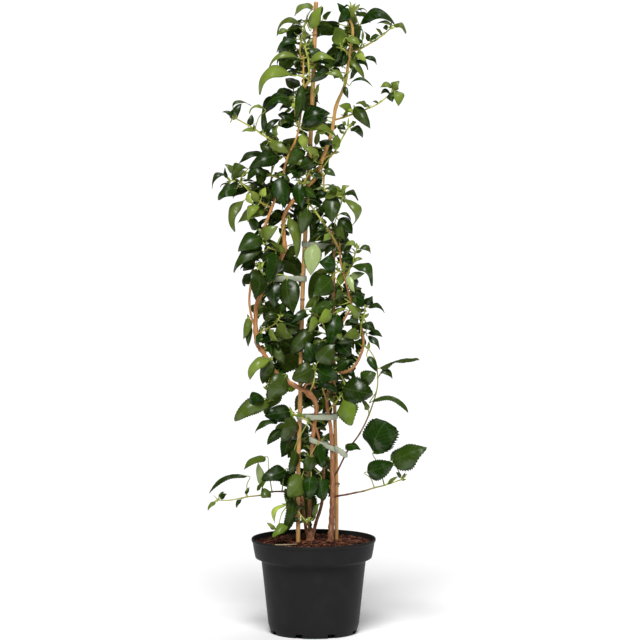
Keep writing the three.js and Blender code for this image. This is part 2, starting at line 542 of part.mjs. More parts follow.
      [-116, -19, 161, -127.5, -24, 148, 7, 3, 30, "m"],
    ],
  },
  low_centre: {
    from: "stem_left", radius: 1.1,
    path: [[-6, -4, 198], [-7, -12, 206], [-6, -17, 211]],
    leaves: [
      [-14, -20, 190, -31, -30, 165, 28, 3, 76, "u"], [-3, -19, 191, -5, -29, 161, 19, 3, 10, "t"],
      [9, -16, 187, 13, -27, 160, 21, 3, 25, "t"], [0, -18, 213, -11, -26, 195, 20, 3, 70, "t"],
      [6, -16, 229, 12, -24, 200, 20, 3, 70, "t"],
    ],
  },
  foot_sprigs: {
    from: "stem_left", radius: 1.0,
    path: [[-4, -2, 121], [-8, -15, 133], [-20, -18, 148], [-31, -18, 155]],
    leaves: [
      [-33, -18, 156, -47, -24, 132, 9, 11, 5, "y"], [-24, -18, 164, -33, -29, 121, 18, 3, 70, "t"],
      [-33, -24, 132, -50, -37, 116, 13, 3, 45, "u"], [-46, -26, 126, -56, -29, 134, 6, 1, 50, "y"],
      [0, -15, 141, 7, -22, 158, 9, 1, 60, "m"],
    ],
  },
  runner_right: {
    from: "stem_right", radius: 1.2,
    path: [[22.5, -4, 164], [29, -8, 166], [41, -12, 168], [50, -14, 170], [60, -15, 172], [73, -16, 176],
      [85, -17, 179],
      [106, -18, 186]],
    leaves: [
      [72, -15, 219, 86, -24, 257, 43, 3, 30, "r"], [94, -17, 209, 135, -28, 227, 32, 3, 62, "t"],
      [64, -17, 195, 96, -27, 205, 25, 3, 62, "t"], [106, -18, 188, 99, -25, 195, 7, 1, 50, "d"],
      [89, -17, 181, 101, -23, 190, 7, 1, 50, "m"], [108, -18, 187, 112, -22, 193, 5, 1, 50, "y"],
    ],
  },
};

// Shoots at the back, each a rule: stem, where it leaves it, compass direction in degrees, length and leaf kind
const BACK_SHOOTS = [
  ["stem_left", [46, -4, 722], 100, 26, "d"],
  ["stem_left", [-12, -13, 684], 115, 34, "d"],
  ["stem_left", [43, -4, 690], 85, 30, "d"],
  ["stem_left", [-13, -15, 640], 105, 38, "d"],
  ["stem_left", [-29, -12, 580], 115, 36, "d"],
  ["stem_left", [6, -14, 564], 75, 38, "d"],
  ["stem_left", [-45, -12, 526], 115, 36, "d"],
  ["stem_right", [31, -6, 466], 90, 32, "d"],
  ["stem_left", [-46, -5, 440], 95, 34, "d"],
  ["stem_right", [42, -7, 402], 84, 32, "d"],
  ["stem_left", [-69.5, -9, 388], 80, 34, "d"],
  ["stem_left", [-62, -12, 342], 50, 36, "t"],
  ["stem_right", [16, -3, 286], 85, 32, "t"],
  ["stem_left", [-5, -3, 222], 105, 32, "t"],
  ["stem_left", [-14, 1, 163], 120, 28, "t"],
  ["stem_right", [22.5, -4, 176], 120, 28, "t"],
];

// Value of an evenly spaced list at t from 0 to 1, straight between its entries
function blend(list, t) {
  const at = Math.min(t * (list.length - 1), list.length - 1 - 1e-9);
  const i = Math.floor(at);
  return list[i] + (list[i + 1] - list[i]) * (at - i);
}

// Points along a line of points, no further apart than step
function stations(points, step) {
  const out = [points[0]];
  for (let i = 1; i < points.length; i++) {
    const n = Math.max(1, Math.ceil(points[i].distanceTo(points[i - 1]) / step));
    for (let k = 1; k <= n; k++) out.push(points[i - 1].clone().lerp(points[i], k / n));
  }
  return out;
}

// Woody pieces: their tubes, and balls along them that blades keep clear of
const wood = [];
function noteWood(node, line, radiusAt) {
  line.forEach((p, i) => {
    const next = line[Math.min(i + 1, line.length - 1)];
    const last = line[Math.max(i - 1, 0)];
    const way = next.clone().sub(last).normalize();
    wood.push({ node, p, way, r: radiusAt(i / (line.length - 1)) });
  });
}

function cane(name, { points, radius, joints }) {
  const top = points.map(seen);
  const foot = V(top[0].x, top[0].y, CANE_FOOT);
  const line = [foot, ...top];
  const length = line.length - 1;
  // a cane swells a little at each joint
  const rings = [];
  for (let i = 0; i <= length; i++) {
    rings.push({ p: line[i], r: radius });
    if (i === length) break;
    for (const z of joints) {
      if (z <= line[i].z + 4 || z >= line[i + 1].z - 4) continue;
      for (const [dz, swell] of [[-1.6, 1], [0, 1.16], [1.6, 1]]) {
        const t = (z + dz - line[i].z) / (line[i + 1].z - line[i].z);
        rings.push({ p: line[i].clone().lerp(line[i + 1], t), r: radius * swell });
      }
    }
  }
  noteWood(name, stations(line, 3), () => radius);
  return tube(rings.map((q) => q.p), (i) => rings[i].r, 6);
}

function woodyStem(name, branches) {
  const pieces = branches.map(({ points, radii, sides }) => {
    const line = points.map(seen);
    const last = line.length - 1;
    noteWood(name, stations(line, 3), (t) => blend(radii, t));
    return tube(line, (i) => blend(radii, i / last), sides);
  });
  return wholeBody(wasm.Manifold.union(pieces));
}

// The outer turn round a set of points in a plane, counter-clockwise
function hull(points) {
  const sorted = [...points].sort((a, b) => a.x - b.x || a.y - b.y);
  const cross = (o, a, b) => (a.x - o.x) * (b.y - o.y) - (a.y - o.y) * (b.x - o.x);
  const half = (list) => {
    const chain = [];
    for (const p of list) {
      while (chain.length > 1 && cross(chain.at(-2), chain.at(-1), p) <= 0) chain.pop();
      chain.push(p);
    }
    return chain.slice(0, -1);
  };
  return [...half(sorted), ...half([...sorted].reverse())];
}

// A soft strap: the hull round the stems that it holds, sheared so that it climbs along x
const strapPoints = [];
function tie(name, { z, slope, round, reach }) {
  const held = wood.filter(({ node, p, r }) => {
    const off = Math.abs(p.z - z - slope * p.x);
    return round.includes(node) && off < TIE_HEIGHT / 2 + 2 + r && p.x > reach[0] && p.x < reach[1];
  });
  const ring = (extra) => {
    const around = [];
    for (const { p, r } of held) {
      for (let k = 0; k < 8; k++) {
        const a = (Math.PI * k) / 4;
        around.push(new THREE.Vector2(p.x + (r + extra) * Math.cos(a), p.y + (r + extra) * Math.sin(a)));
      }
    }
    return hull(around);
  };
  const middle = ring(SEAT + 0.2 + TIE_THICK / 2).map((q) => V(q.x, q.y, z + slope * q.x));
  strapPoints.push(...stations([...middle, middle[0]], 3).map((p) => ({ node: name, p })));
  const outline = new THREE.Shape(ring(SEAT + 0.2 + TIE_THICK));
  outline.holes.push(new THREE.Path(ring(SEAT + 0.2)));
  const band = new THREE.ExtrudeGeometry(outline, { depth: TIE_HEIGHT, bevelEnabled: false, curveSegments: 1 });
  band.translate(0, 0, z - TIE_HEIGHT / 2);
  const at = band.attributes.position;
  for (let i = 0; i < at.count; i++) at.setZ(i, at.getZ(i) + slope * at.getX(i));
  return solidOf(band);
}

// The soil: a lathe just inside the pot's wall, mounded a little, with plain holes for what stands in it
function soil() {
  const inner = [
    [0, NOTCH_HEIGHT + 3 + SEAT], [52.2, NOTCH_HEIGHT + 3 + SEAT], [57, 50], [61.2, 88.4],
    [68.8, 93.9], [71.2, SOIL_TOP - 1], [40, SOIL_TOP + SOIL_MOUND], [0, SOIL_TOP + SOIL_MOUND],
  ];
  let shape = lathe(inner, POT_SIDES);
  const holes = [
    [CANES.cane_left.points[0], CANES.cane_left.radius, CANE_FOOT],
    [CANES.cane_right.points[0], CANES.cane_right.radius, CANE_FOOT],
    [STEMS.stem_left[0].points[0], STEMS.stem_left[0].radii[0], ROOT_DEPTH],
    [STEMS.stem_right[0].points[0], STEMS.stem_right[0].radii[0], ROOT_DEPTH],
  ];
  for (const [[x, y], radius, depth] of holes) {
    const wide = (radius + SEAT + 0.1) / Math.cos(Math.PI / 8);
    shape = shape.subtract(cylinder(wide, depth - SEAT, SOIL_TOP + 8, x, y, 8));
  }
  return shape;
}

const isToothed = (kind) => "tur".includes(kind);

// Half width of a blade at s from base to tip, as a share of its greatest half width
function halfWidth(s, kind) {
  const [p, q] = kind === "r" ? [0.5, 0.35] : isToothed(kind) ? [0.42, 0.72] : [0.62, 1.0];
  const peak = p / (p + q);
  return (s ** p * (1 - s) ** q) / (peak ** p * (1 - peak) ** q);
}

// The plane of a blade: along its chord, up off its face, and across. Roll turns the face to the nearer outside.
function leafFrame({ base, tip, roll }) {
  const along = tip.clone().sub(base).normalize();
  const outside = V(0, base.y > 0 ? 1 : -1, 0);
  const lean = V(base.x / 200, outside.y * 0.25, 1);
  const up = lean.addScaledVector(along, -lean.dot(along)).normalize();
  const side = along.clone().cross(up);
  if (side.dot(outside) < 0) side.negate();
  const a = THREE.MathUtils.degToRad(roll);
  const face = up.multiplyScalar(Math.cos(a)).addScaledVector(side, Math.sin(a));
  return { along, face, across: face.clone().cross(along) };
}

// A point of the blade: s along the midrib, an arched curve, and v across, bent down away from the midrib
function leafPoint(leaf, frame, s, v) {
  const { base, tip, arch } = leaf;
  const knee = base.clone().lerp(tip, 0.42).addScaledVector(frame.face, 2 * arch);
  const first = base.clone().lerp(knee, s);
  const second = knee.clone().lerp(tip, s);
  const middle = first.clone().lerp(second, s);
  const normal = second.sub(first).normalize().cross(frame.across);
  const drop = 0.18 * Math.abs(v);
  return { p: middle.addScaledVector(frame.across, v).addScaledVector(normal, -drop), normal };
}

// Flat pattern of a blade: points [s, share of half width], triangles seen from above, and the rim in order.
// Points 0 and 1 are the left and right of the base, where the petiole joins.
function smoothPattern(length) {
  const folded = length > 28;
  const cuts = length > 42 ? [0.2, 0.5, 0.8] : length > 20 ? [0.28, 0.68] : [0.42];
  const points = [[0, 1], [0, -1]];
  const triangles = [];
  let [left, middle, right] = [0, 0, 1];
  const rim = [[], []];
  cuts.forEach((s, i) => {
    const r = points.push([s, -1]) - 1;
    const l = points.push([s, 1]) - 1;
    if (folded) {
      const m = points.push([s, 0]) - 1;
      if (i === 0) triangles.push([0, 1, m], [1, r, m], [0, m, l]);
      else triangles.push([right, r, m], [right, m, middle], [middle, m, l], [middle, l, left]);
      middle = m;
    } else {
      triangles.push([left, right, r], [left, r, l]);
    }
    rim[0].push(r);
    rim[1].unshift(l);
    [left, right] = [l, r];
  });
  const tip = points.push([1, 0]) - 1;
  if (folded) triangles.push([right, tip, middle], [middle, tip, left]);
  else triangles.push([right, tip, left]);
  return { points, triangles, rim: [1, ...rim[0], tip, ...rim[1], 0] };
}

function toothedPattern(length) {
  const teeth = length > 36 ? 4 : 3;
  const points = [[0, 1], [0, -1], [1, 0]];
  const add = (s, v) => points.push([s, v]) - 1;
  const middle = [0];
  for (let i = 1; i < teeth; i++) middle.push(add(i / teeth, 0));
  const triangles = [[0, 1, middle[1]]];
  const rims = [];
  for (const side of [-1, 1]) {
    const put = (a, b, c) => triangles.push(side < 0 ? [a, b, c] : [a, c, b]);
    const rim = [];
    let valley = side < 0 ? 1 : 0;
    for (let i = 0; i < teeth - 1; i++) {
      const peak = add((i + 0.6) / teeth, 1.03 * side);
      const next = add((i + 1) / teeth, 0.86 * side);
      if (i > 0) put(middle[i], valley, peak);
      put(i > 0 ? middle[i] : valley, peak, middle[i + 1]);
      put(peak, next, middle[i + 1]);
      rim.push(peak, next);
      valley = next;
    }
    put(middle[teeth - 1], valley, 2);
    rims.push(rim);
  }
  return { points, triangles, rim: [1, ...rims[0], 2, ...rims[1].reverse(), 0] };
}

// The petiole: from the node of the shoot to the blade's base, with its middle lifted where it is long
const nearest = (nodes, p) =>
  nodes.reduce((best, q, i) => (q.distanceTo(p) < nodes[best].distanceTo(p) ? i : best), 0);

function petioleLine(leaf, nodes) {
  const root = nodes[nearest(nodes, leaf.base)];
  const length = root.distanceTo(leaf.base);
  if (length < 16) return [root, leaf.base];
  const middle = root.clone().lerp(leaf.base, 0.5);
  middle.z += 0.1 * length;
  return [root, middle, leaf.base];
}

// The blade's skin: its pattern laid on the arched surface, half the thickness above and below, with a rim that
// is open at the base. The base's four corners come in the order top left, top right, bottom right, bottom left.
function bladeSkin(leaf) {
  const frame = leafFrame(leaf);
  const length = leaf.tip.distanceTo(leaf.base);
  const { points, triangles, rim } = isToothed(leaf.kind) ? toothedPattern(length) : smoothPattern(length);
  const above = [];
  const below = [];
  for (const [s, share] of points) {
    const half = s > 0 ? (halfWidth(s, leaf.kind) * leaf.width) / 2 : PETIOLE_RADIUS;
    const { p, normal } = leafPoint(leaf, frame, s, share * half);
    above.push(p.clone().addScaledVector(normal, BLADE_THICK / 2));
    below.push(p.clone().addScaledVector(normal, -BLADE_THICK / 2));
  }
  const n = points.length;
  const faces = [...triangles, ...triangles.map(([a, b, c]) => [a + n, c + n, b + n])];
  for (let i = 0; i < rim.length - 1; i++) {
    const [a, b] = [rim[i], rim[i + 1]];
    faces.push([a, a + n, b + n], [a, b + n, b]);
  }
  return { verts: [...above, ...below], faces, base: [0, 1, 1 + n, n], face: frame.face, across: frame.across };
}

// Corners of a petiole's section at p, in the same order as the blade's base
function petioleRing(p, way, { face, across }, half) {
  const side = face.clone().cross(way);
  if (side.length() < 0.3) side.copy(across);
  side.normalize();
  const up = way.clone().cross(side).normalize();
  return [[1, 1], [-1, 1], [-1, -1], [1, -1]].map(([a, b]) =>
    p.clone().addScaledVector(side, a * half).addScaledVector(up, b * half),
  );
}

// The corners turned so that they twist least on the way to another ring
function untwisted(corners, ring) {
  const centre = (list) => list.reduce((sum, q) => sum.add(q), V(0, 0, 0)).multiplyScalar(0.25);
  const [from, to] = [centre(corners), centre(ring)];
  let best = null;
  for (let turn = 0; turn < 4; turn++) {
    const order = [0, 1, 2, 3].map((k) => (k + turn) % 4);
    const fit = order.reduce((sum, k, i) => {
      const spoke = corners[k].clone().sub(from).normalize();
      return sum + spoke.dot(ring[i].clone().sub(to).normalize());
    }, 0);
    if (!best || fit > best.fit) best = { fit, order };
  }
  return best.order;
}

// A leaf grown out of a face: corners of the face, then the petiole's middle ring if it has one, then the blade.
// With open true the face itself is left out, because the shoot's tube is open there.
function leafSkin(leaf, line, corners, open) {
  const skin = bladeSkin(leaf);
  const { verts, faces } = skin;
  const rings = [skin.base];
  for (let i = line.length - 2; i > 0; i--) {
    const way = line[i + 1].clone().sub(line[i - 1]).normalize();
    const ring = petioleRing(line[i], way, skin, PETIOLE_RADIUS * 0.9);
    rings.unshift(ring.map((q) => verts.push(q) - 1));
  }
  const order = untwisted(corners, rings[0].map((i) => verts[i]));
  const root = order.map((k) => verts.push(corners[k]) - 1);
  rings.unshift(root);
  for (let i = 0; i < rings.length - 1; i++) {
    for (let k = 0; k < 4; k++) {
      const j = (k + 1) % 4;
      faces.push(...halves([rings[i][k], rings[i][j], rings[i + 1][j], rings[i + 1][k]]));
    }
  }
  if (!open) faces.push(...halves([root[0], root[3], root[2], root[1]]));
  return { verts, faces, root, order };
}

// Sample points of a blade, no more than about 4 mm apart. Those past its first third are marked far.
function bladeSamples(leaf) {
  const frame = leafFrame(leaf);
  const length = leaf.tip.distanceTo(leaf.base);
  const rows = Math.ceil(length / 4);
  const out = [];
  for (let i = 1; i <= rows; i++) {
    const s = i / rows;
    const half = (halfWidth(s, leaf.kind) * leaf.width) / 2;
    const columns = Math.ceil(half / 4);
    for (let k = -columns; k <= columns; k++) {
      out.push({ p: leafPoint(leaf, frame, s, columns ? (half * k) / columns : 0).p, far: s > 0.34 });
    }
  }
  return out;
}

// Whether sample points keep their distance from all that stands already. In their own shoot only the far
// parts of the blades keep a smaller distance from each other.
const taken = [];
function clear(samples, node, gap) {
  for (const q of taken) {
    const own = q.node === node;
    if (own && !q.far) continue;
    const reach = own ? gap * OWN_CLEAR : q.r ? Math.max(q.r + gap - 2.6, q.r + 0.9, gap - 0.6) : gap;
    for (const { p, far } of samples) {
      if (own && !far) continue;
      if (p.distanceToSquared(q.p) < reach * reach) return false;
    }
  }
  return true;
}

// The leaf slid along the line of sight, so that it looks the same from the front
function slid(leaf, distance) {
  const move = (p) => V(p.x, p.y + distance, p.z - (distance * (EYE_HEIGHT - p.z)) / EYE_DISTANCE);
  return { ...leaf, base: move(leaf.base), tip: move(leaf.tip) };
}

// A blade that would start inside its shoot's stem starts a little further along instead.
function stalked(leaf, nodes) {
  const root = nodes[nearest(nodes, leaf.base)];
  const short = SHORTEST_STALK - root.distanceTo(leaf.base);
  if (short <= 0) return leaf;
  const way = leaf.tip.clone().sub(root).normalize();
  return { ...leaf, base: leaf.base.clone().addScaledVector(way, short) };
}

// A leaf takes the first place along its line of sight where it touches no other shoot.
const dropped = [];
function settle(name, leaf, nodes) {
  for (const distance of SLIDES) {
    const placed = stalked(slid(leaf, distance), nodes);
    const line = stations(petioleLine(placed, nodes), 2.5);
    const stalk = line.slice(Math.ceil(line.length * 0.3)).map((p) => ({ p, far: true }));
    const samples = bladeSamples(placed);
    if (!clear(samples, name, BLADE_CLEAR) || !clear(stalk, name, PETIOLE_CLEAR)) continue;
    taken.push(...samples.map(({ p, far }) => ({ node: name, p, r: 0, far })));
    taken.push(...stalk.map(({ p }) => ({ node: name, p, r: 0, far: false })));
    return placed;
  }
  dropped.push(name + " " + leaf.base.toArray().map(Math.round));
  return null;
}

// The shoot's stem starts a seat's width off the stem that carries it.
function shootLine(path, from, radius) {
  const line = path.map(seen);
  const own = wood.filter((w) => w.node === from);
  const near = own.reduce((best, w) =>
    w.p.distanceTo(line[0]) < best.p.distanceTo(line[0]) ? w : best,
  );
  const way = line[1].clone().sub(near.p).normalize();
  const lean = Math.abs(way.dot(near.way));
  const sine = Math.max(Math.sqrt(1 - lean * lean), 0.5);
  line[0] = near.p.clone().addScaledVector(way, (near.r + SEAT + radius * lean) / sine);
  return line;
}

function leafOf([bx, by, bz, tx, ty, tz, width, arch, roll, kind]) {
  return { base: seen([bx, by, bz]), tip: seen([tx, ty, tz]), width, arch, roll, kind };
}

// A direction level from a point, turned further back where the foliage does not reach far to that side
function headed(from, a) {
  const next = REACH.findIndex(([height]) => height > from.z);
  const [low, high] = next > 0 ? [REACH[next - 1], REACH[next]] : [REACH.at(next), REACH.at(next)];
  const t = low === high ? 0 : (from.z - low[0]) / (high[0] - low[0]);
  const [left, right] = [1, 2].map((k) => (low[k] + (high[k] - low[k]) * t - from.x) / BACK_SPAN);
  const room = Math.cos(a) > 0 ? Math.min(right, MOST_SIDEWAYS) : Math.max(left, -MOST_SIDEWAYS);
  const x = Math.abs(Math.cos(a)) * room;
  return V(x, Math.sqrt(1 - x * x), 0);
}

// Leaves of a shoot at the back, a pair at each of its nodes and one at its end: which node, how far the leaf is
// turned off the shoot's heading, and its rise before it droops, in degrees
const BACK_LEAVES = [[1, 78, -8], [1, -78, -18], [2, 66, 8], [2, -66, -2], [2, 0, 42]];
function backLeaves(nodes, heading, kind) {
  const toothed = kind === "t";
  const out = [];
  for (const [node, turn, rise] of BACK_LEAVES) {
    const a = THREE.MathUtils.degToRad(heading + turn + draw(-12, 12));
    const e = THREE.MathUtils.degToRad(rise + draw(-38, -5));
    const flat = headed(nodes[node], a);
    const fit = Math.min(1, (BACK_DEPTH - nodes[node].y) / (BACK_SPAN * flat.y));
    const length = fit * (toothed ? draw(36, 48) : draw(32, 42));
    const stalk = fit * draw(6, 12);
    const base = nodes[node].clone().addScaledVector(flat, stalk).add(V(0, 0, draw(1, 6)));
    const tip = base.clone().addScaledVector(flat, length * Math.cos(e)).add(V(0, 0, length * Math.sin(e)));
    const width = length * (toothed ? draw(0.62, 0.74) : draw(0.5, 0.62));
    out.push({ base, tip, width, arch: length * draw(0.1, 0.22), roll: draw(5, 40), kind });
  }
  return out;
}

// Every shoot with its line and its leaves, settled one after another
function plannedShoots() {
  const planned = Object.entries(SHOOTS).map(([name, { from, radius, path, leaves }]) => ({
    name: "leaves_" + name,
    radius,
    line: shootLine(path, from, radius),
    leaves: leaves.map(leafOf),
  }));
  BACK_SHOOTS.forEach(([from, foot, heading, length, kind], i) => {
    const a = THREE.MathUtils.degToRad(heading);
    const [x, y, z] = foot;
    const [dx, dy] = [length * Math.cos(a), length * Math.sin(a)];
    const out = (share, rise) => [x + share * dx, y + share * dy, z + length * rise];
    const line = shootLine([foot, out(0.55, 0.16), out(1, 0.34)], from, 1.2);
    planned.push({ name: "leaves_back_" + (i + 1), radius: 1.2, line, leaves: backLeaves(line, heading, kind) });
  });
  for (const { name, line } of planned) {
    taken.push(...stations(line.slice(1), 3).map((p) => ({ node: name, p, r: 1.2 })));
  }
  for (const shoot of planned) {
    const nodes = shoot.line.slice(1);
    shoot.leaves = shoot.leaves.map((leaf) => settle(shoot.name, leaf, nodes)).filter(Boolean);
  }
  return planned;
}

// A leafy shoot in one skin. Its four-sided stem has short lengths before each node, and each leaf there grows
// out of the face that looks its way. A long leaf that would cross another is joined to it instead.
const LENGTH_AT_NODE = 1.8;
const NUDGES = [0, 1.5, -1.5, 2.6, -2.6]; // off the blade's plane
const LEAST_FACING = 0.12;
const CLEAR_OF_FACE = 0.08;
const TOUCH = 2e-4;
const SMALL_LEAF = 20; // a shorter leaf that crosses its neighbours is left out
function leafyShoot({ line, radius, leaves }) {
  const nodes = line.slice(1);
  const crowd = nodes.map(() => 0);
  for (const leaf of leaves) crowd[nearest(nodes, leaf.base)]++;
  const points = [line[0]];
  const sockets = nodes.map(() => []);
  nodes.forEach((p, i) => {
    const count = Math.ceil(crowd[i] / 2);
    const back = line[i].clone().sub(p);
    const step = Math.min(LENGTH_AT_NODE, (0.7 * back.length()) / Math.max(count, 1));
    back.setLength(step);
    for (let k = count; k > 0; k--) {
      sockets[i].push(points.length);
      points.push(p.clone().addScaledVector(back, k));
    }
    points.push(p);
  });
  const last = points.length - 1;
  const rings = tubeRings(points, (i) => radius * (1 - (0.35 * i) / last), 4);
  const verts = rings.flat();
  const stem = tube(points, (i) => radius * (1 - (0.35 * i) / last), 4);
  const quads = [];
  for (let i = 0; i < last; i++) for (let j = 0; j < 4; j++) quads.push({ ring: i, corners: sideFace(i, j, 4) });
  quads.push({ ring: last - 1, corners: [0, 1, 2, 3].map((j) => last * 4 + j) });
  const faces = [];
  const grown = [];
  const joined = [];
  // the first face and nudge with which the leaf crosses neither the stem nor the leaves before it
  const seat = (leaf) => {
    const ring = nearest(nodes, leaf.base);
    for (const nudge of NUDGES) {
      const shift = leafFrame(leaf).face.multiplyScalar(nudge);
      const placed = { ...leaf, base: leaf.base.clone().add(shift), tip: leaf.tip.clone().add(shift) };
      const petiole = petioleLine(placed, nodes);
      const way = petiole[1].clone().sub(petiole[0]).normalize();
      const facing = (q) => {
        const [a, b, c] = q.corners.map((k) => verts[k]);
        return b.clone().sub(a).cross(c.clone().sub(b)).normalize().dot(way);
      };
      const open = quads.filter((q) => !q.used && sockets[ring].includes(q.ring) && facing(q) > LEAST_FACING);
      for (const face of open.sort((p, q) => facing(q) - facing(p))) {
        const corners = face.corners.map((k) => verts[k].clone().addScaledVector(way, CLEAR_OF_FACE));
        const closed = leafSkin(placed, petiole, corners, false);
        const shape = solid(closed.verts, closed.faces);
        const crosses = [stem, ...grown].some((other) => other.intersect(shape).volume() > TOUCH);
        if (!crosses && shape.volume() > 0) return { leaf: placed, petiole, face, shape };
      }
    }
    return null;
  };
  for (const leaf of leaves) {
    const found = seat(leaf);
    if (found) {
      found.face.used = true;
      grown.push(found.shape);
      const skin = leafSkin(found.leaf, found.petiole, found.face.corners.map((k) => verts[k]), true);
      const shift = verts.length;
      const own = new Map(skin.root.map((index, k) => [index, found.face.corners[skin.order[k]]]));
      verts.push(...skin.verts);
      for (const f of skin.faces) faces.push(f.map((k) => own.get(k) ?? k + shift));
    } else if (leaf.tip.distanceTo(leaf.base) > SMALL_LEAF) {
      const petiole = petioleLine(leaf, nodes);
      const way = petiole[1].clone().sub(petiole[0]).normalize();
      const ring = petioleRing(petiole[0], way, bladeSkin(leaf), PETIOLE_RADIUS * 0.8);
      const closed = leafSkin(leaf, petiole, ring, false);
      joined.push(solid(closed.verts, closed.faces));
    } else {
      dropped.push("small " + leaf.base.toArray().map(Math.round));
    }
  }
  for (const q of quads) if (!q.used) faces.push(...halves(q.corners));
  faces.push(...halves([0, 3, 2, 1]));
  const used = [...new Set(faces.flat())];
  const renamed = new Map(used.map((k, i) => [k, i]));
  const skin = solid(used.map((k) => verts[k]), faces.map((f) => f.map((k) => renamed.get(k))));
  return wholeBody(wasm.Manifold.union([skin, ...joined]).simplify(0.05));
}

// Materials by colour, roughness and metalness
const paint = (color, roughness) => new THREE.MeshStandardMaterial({ color, roughness, metalness: 0 });
const PLASTIC = paint(0x2b2a2b, 0.45);
const EARTH = paint(0x32140c, 0.95);
const BAMBOO = paint(0xbe823c, 0.6);
const BARK = paint(0xa05a32, 0.8);
const STRAP = paint(0xb4b9a0, 0.7);
const LEAF = paint(0x2d5a18, 0.35);

const plant = new THREE.Group();
function place(name, shape, material) {
  const mesh = new THREE.Mesh(geometryOf(shape), material);
  mesh.name = name;
  plant.add(mesh);
}

place("pot", pot(), PLASTIC);
place("soil", soil(), EARTH);
for (const [name, data] of Object.entries(CANES)) place(name, cane(name, data), BAMBOO);
for (const [name, branches] of Object.entries(STEMS)) place(name, woodyStem(name, branches), BARK);
for (const [name, data] of Object.entries(TIES)) place(name, tie(name, data), STRAP);
taken.push(...wood, ...strapPoints.map(({ node, p }) => ({ node, p, r: TIE_HEIGHT / 2 })));
const shoots = plannedShoots();
for (const shoot of shoots) place(shoot.name, leafyShoot(shoot), LEAF);

export { shoots, dropped };
export default plant;
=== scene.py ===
"""A climbing hydrangea in a nursery pot, dressed for Blender 4.5.

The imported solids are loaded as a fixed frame. Each one is replaced by a finer piece that keeps its place and
its form: a pot turned from its profile, lumpy soil, canes, barked stems, soft ties, and leaves with veins and
teeth. Lengths below are in millimetres, +Z up, -Y towards the camera, the origin on the floor under the pot.
"""
import math

import bpy
import numpy as np
from mathutils import Matrix


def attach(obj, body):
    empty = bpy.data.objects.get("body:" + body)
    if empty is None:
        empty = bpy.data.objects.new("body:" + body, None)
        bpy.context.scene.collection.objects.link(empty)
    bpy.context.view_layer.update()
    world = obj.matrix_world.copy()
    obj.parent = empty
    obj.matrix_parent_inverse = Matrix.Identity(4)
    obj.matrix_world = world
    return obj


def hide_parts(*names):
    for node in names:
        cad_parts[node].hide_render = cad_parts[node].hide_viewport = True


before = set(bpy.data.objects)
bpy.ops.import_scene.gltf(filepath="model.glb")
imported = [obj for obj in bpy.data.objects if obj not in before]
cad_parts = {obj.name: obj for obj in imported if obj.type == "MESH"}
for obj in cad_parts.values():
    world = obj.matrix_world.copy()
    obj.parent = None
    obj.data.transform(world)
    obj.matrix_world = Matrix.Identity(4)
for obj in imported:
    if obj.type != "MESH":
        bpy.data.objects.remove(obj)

bl_info = {
    "name": "Potted climbing hydrangea",
    "version": (1, 0, 0),
    "blender": (4, 5, 0),
    "location": "View3D > Sidebar > Hydrangea",
    "description": "Finer pieces and materials for a climbing hydrangea in a nursery pot",
    "category": "Add Mesh",
}

MM = 0.001

# Pot and soil
FOOT_NOTCHES = 8
NOTCH_WIDTH = 10.0
NOTCH_HEIGHT = 5.0
NOTCH_RADIUS = 50.0  # where a notch's width is measured
NOTCH_TURN = 0.04  # how far the notches are turned from the axes, in radians
POT_SIDES = 192
SOIL_TOP = 110.0
SOIL_RADIUS = 71.0
SOIL_WALL = [(68.4, 94.2), (61.0, 89.0), (56.8, 50), (52.0, 8.5)]  # radius and height of its side, downwards
FIBRE_REACH = 70.0

# Wood and ties
SEAT = 0.3
CANE_FOOT = 40.0
ROOT_DEPTH = 103.0
WOOD_STEP = 3.0
BARK_SIDES = 14
BARK_HEIGHTS = (140.0, 520.0, 700.0)  # where bark is old, young and still greenish
STEM_SHARE = (0.88, 0.74, 0.74)  # share of the solid's radius there, so that lumps stay inside its outline
BARK_LUMPS = [(9.0, 11, 0.09), (3.0, 23, 0.05)]  # their length, seed and height as a share of the radius
KNOT_SPREAD = 4.5
CANE_SIDES = 16
TIE_THICK = 0.9
TIE_HEIGHT = 6.5
TIE_SLACK = 0.2
TIE_ROUNDING = 0.15  # how much further off the wood a tie with rounded corners runs
TIE_MARGIN = 2.0
TIE_SIDES = 12
TAIL_THICK = 0.7
TAIL_SIDES = 10

# The eye: heights in the lists below are as seen in the plane y = 0 from its height and distance
EYE_HEIGHT = 1020.0
EYE_DISTANCE = 6000.0

# Room between leaves
BLADE_CLEAR = 3.8
PETIOLE_CLEAR = 2.5
OWN_CLEAR = 0.6  # share of it that a shoot's own leaves keep
WOOD_EASE = 2.6  # how much less wood asks for
WOOD_LEAST = 0.9
BALL_EASE = 0.6
WIDEST_REACH = 12.0
BLADE_STEP = 4.0
BLADE_FAR = 0.34  # past this share of its length a blade keeps off its own shoot too
SAMPLE_DROOP = 0.18
STALK_STEP = 2.5
STALK_NEAR = 0.3  # share of a petiole that may lie close to its shoot
INNER_STALK_NEAR = 0.5
SLIDES = [0, -5, 5, -10, 10, -15, 15, -21, 21, -27, 27]
SHORTEST_STALK = 4.0
LONG_STALK = 16.0  # a petiole longer than this rises in its middle
STALK_RISE = 0.1
PETIOLE_RADIUS = 0.75
SHOOT_SIDES = 8

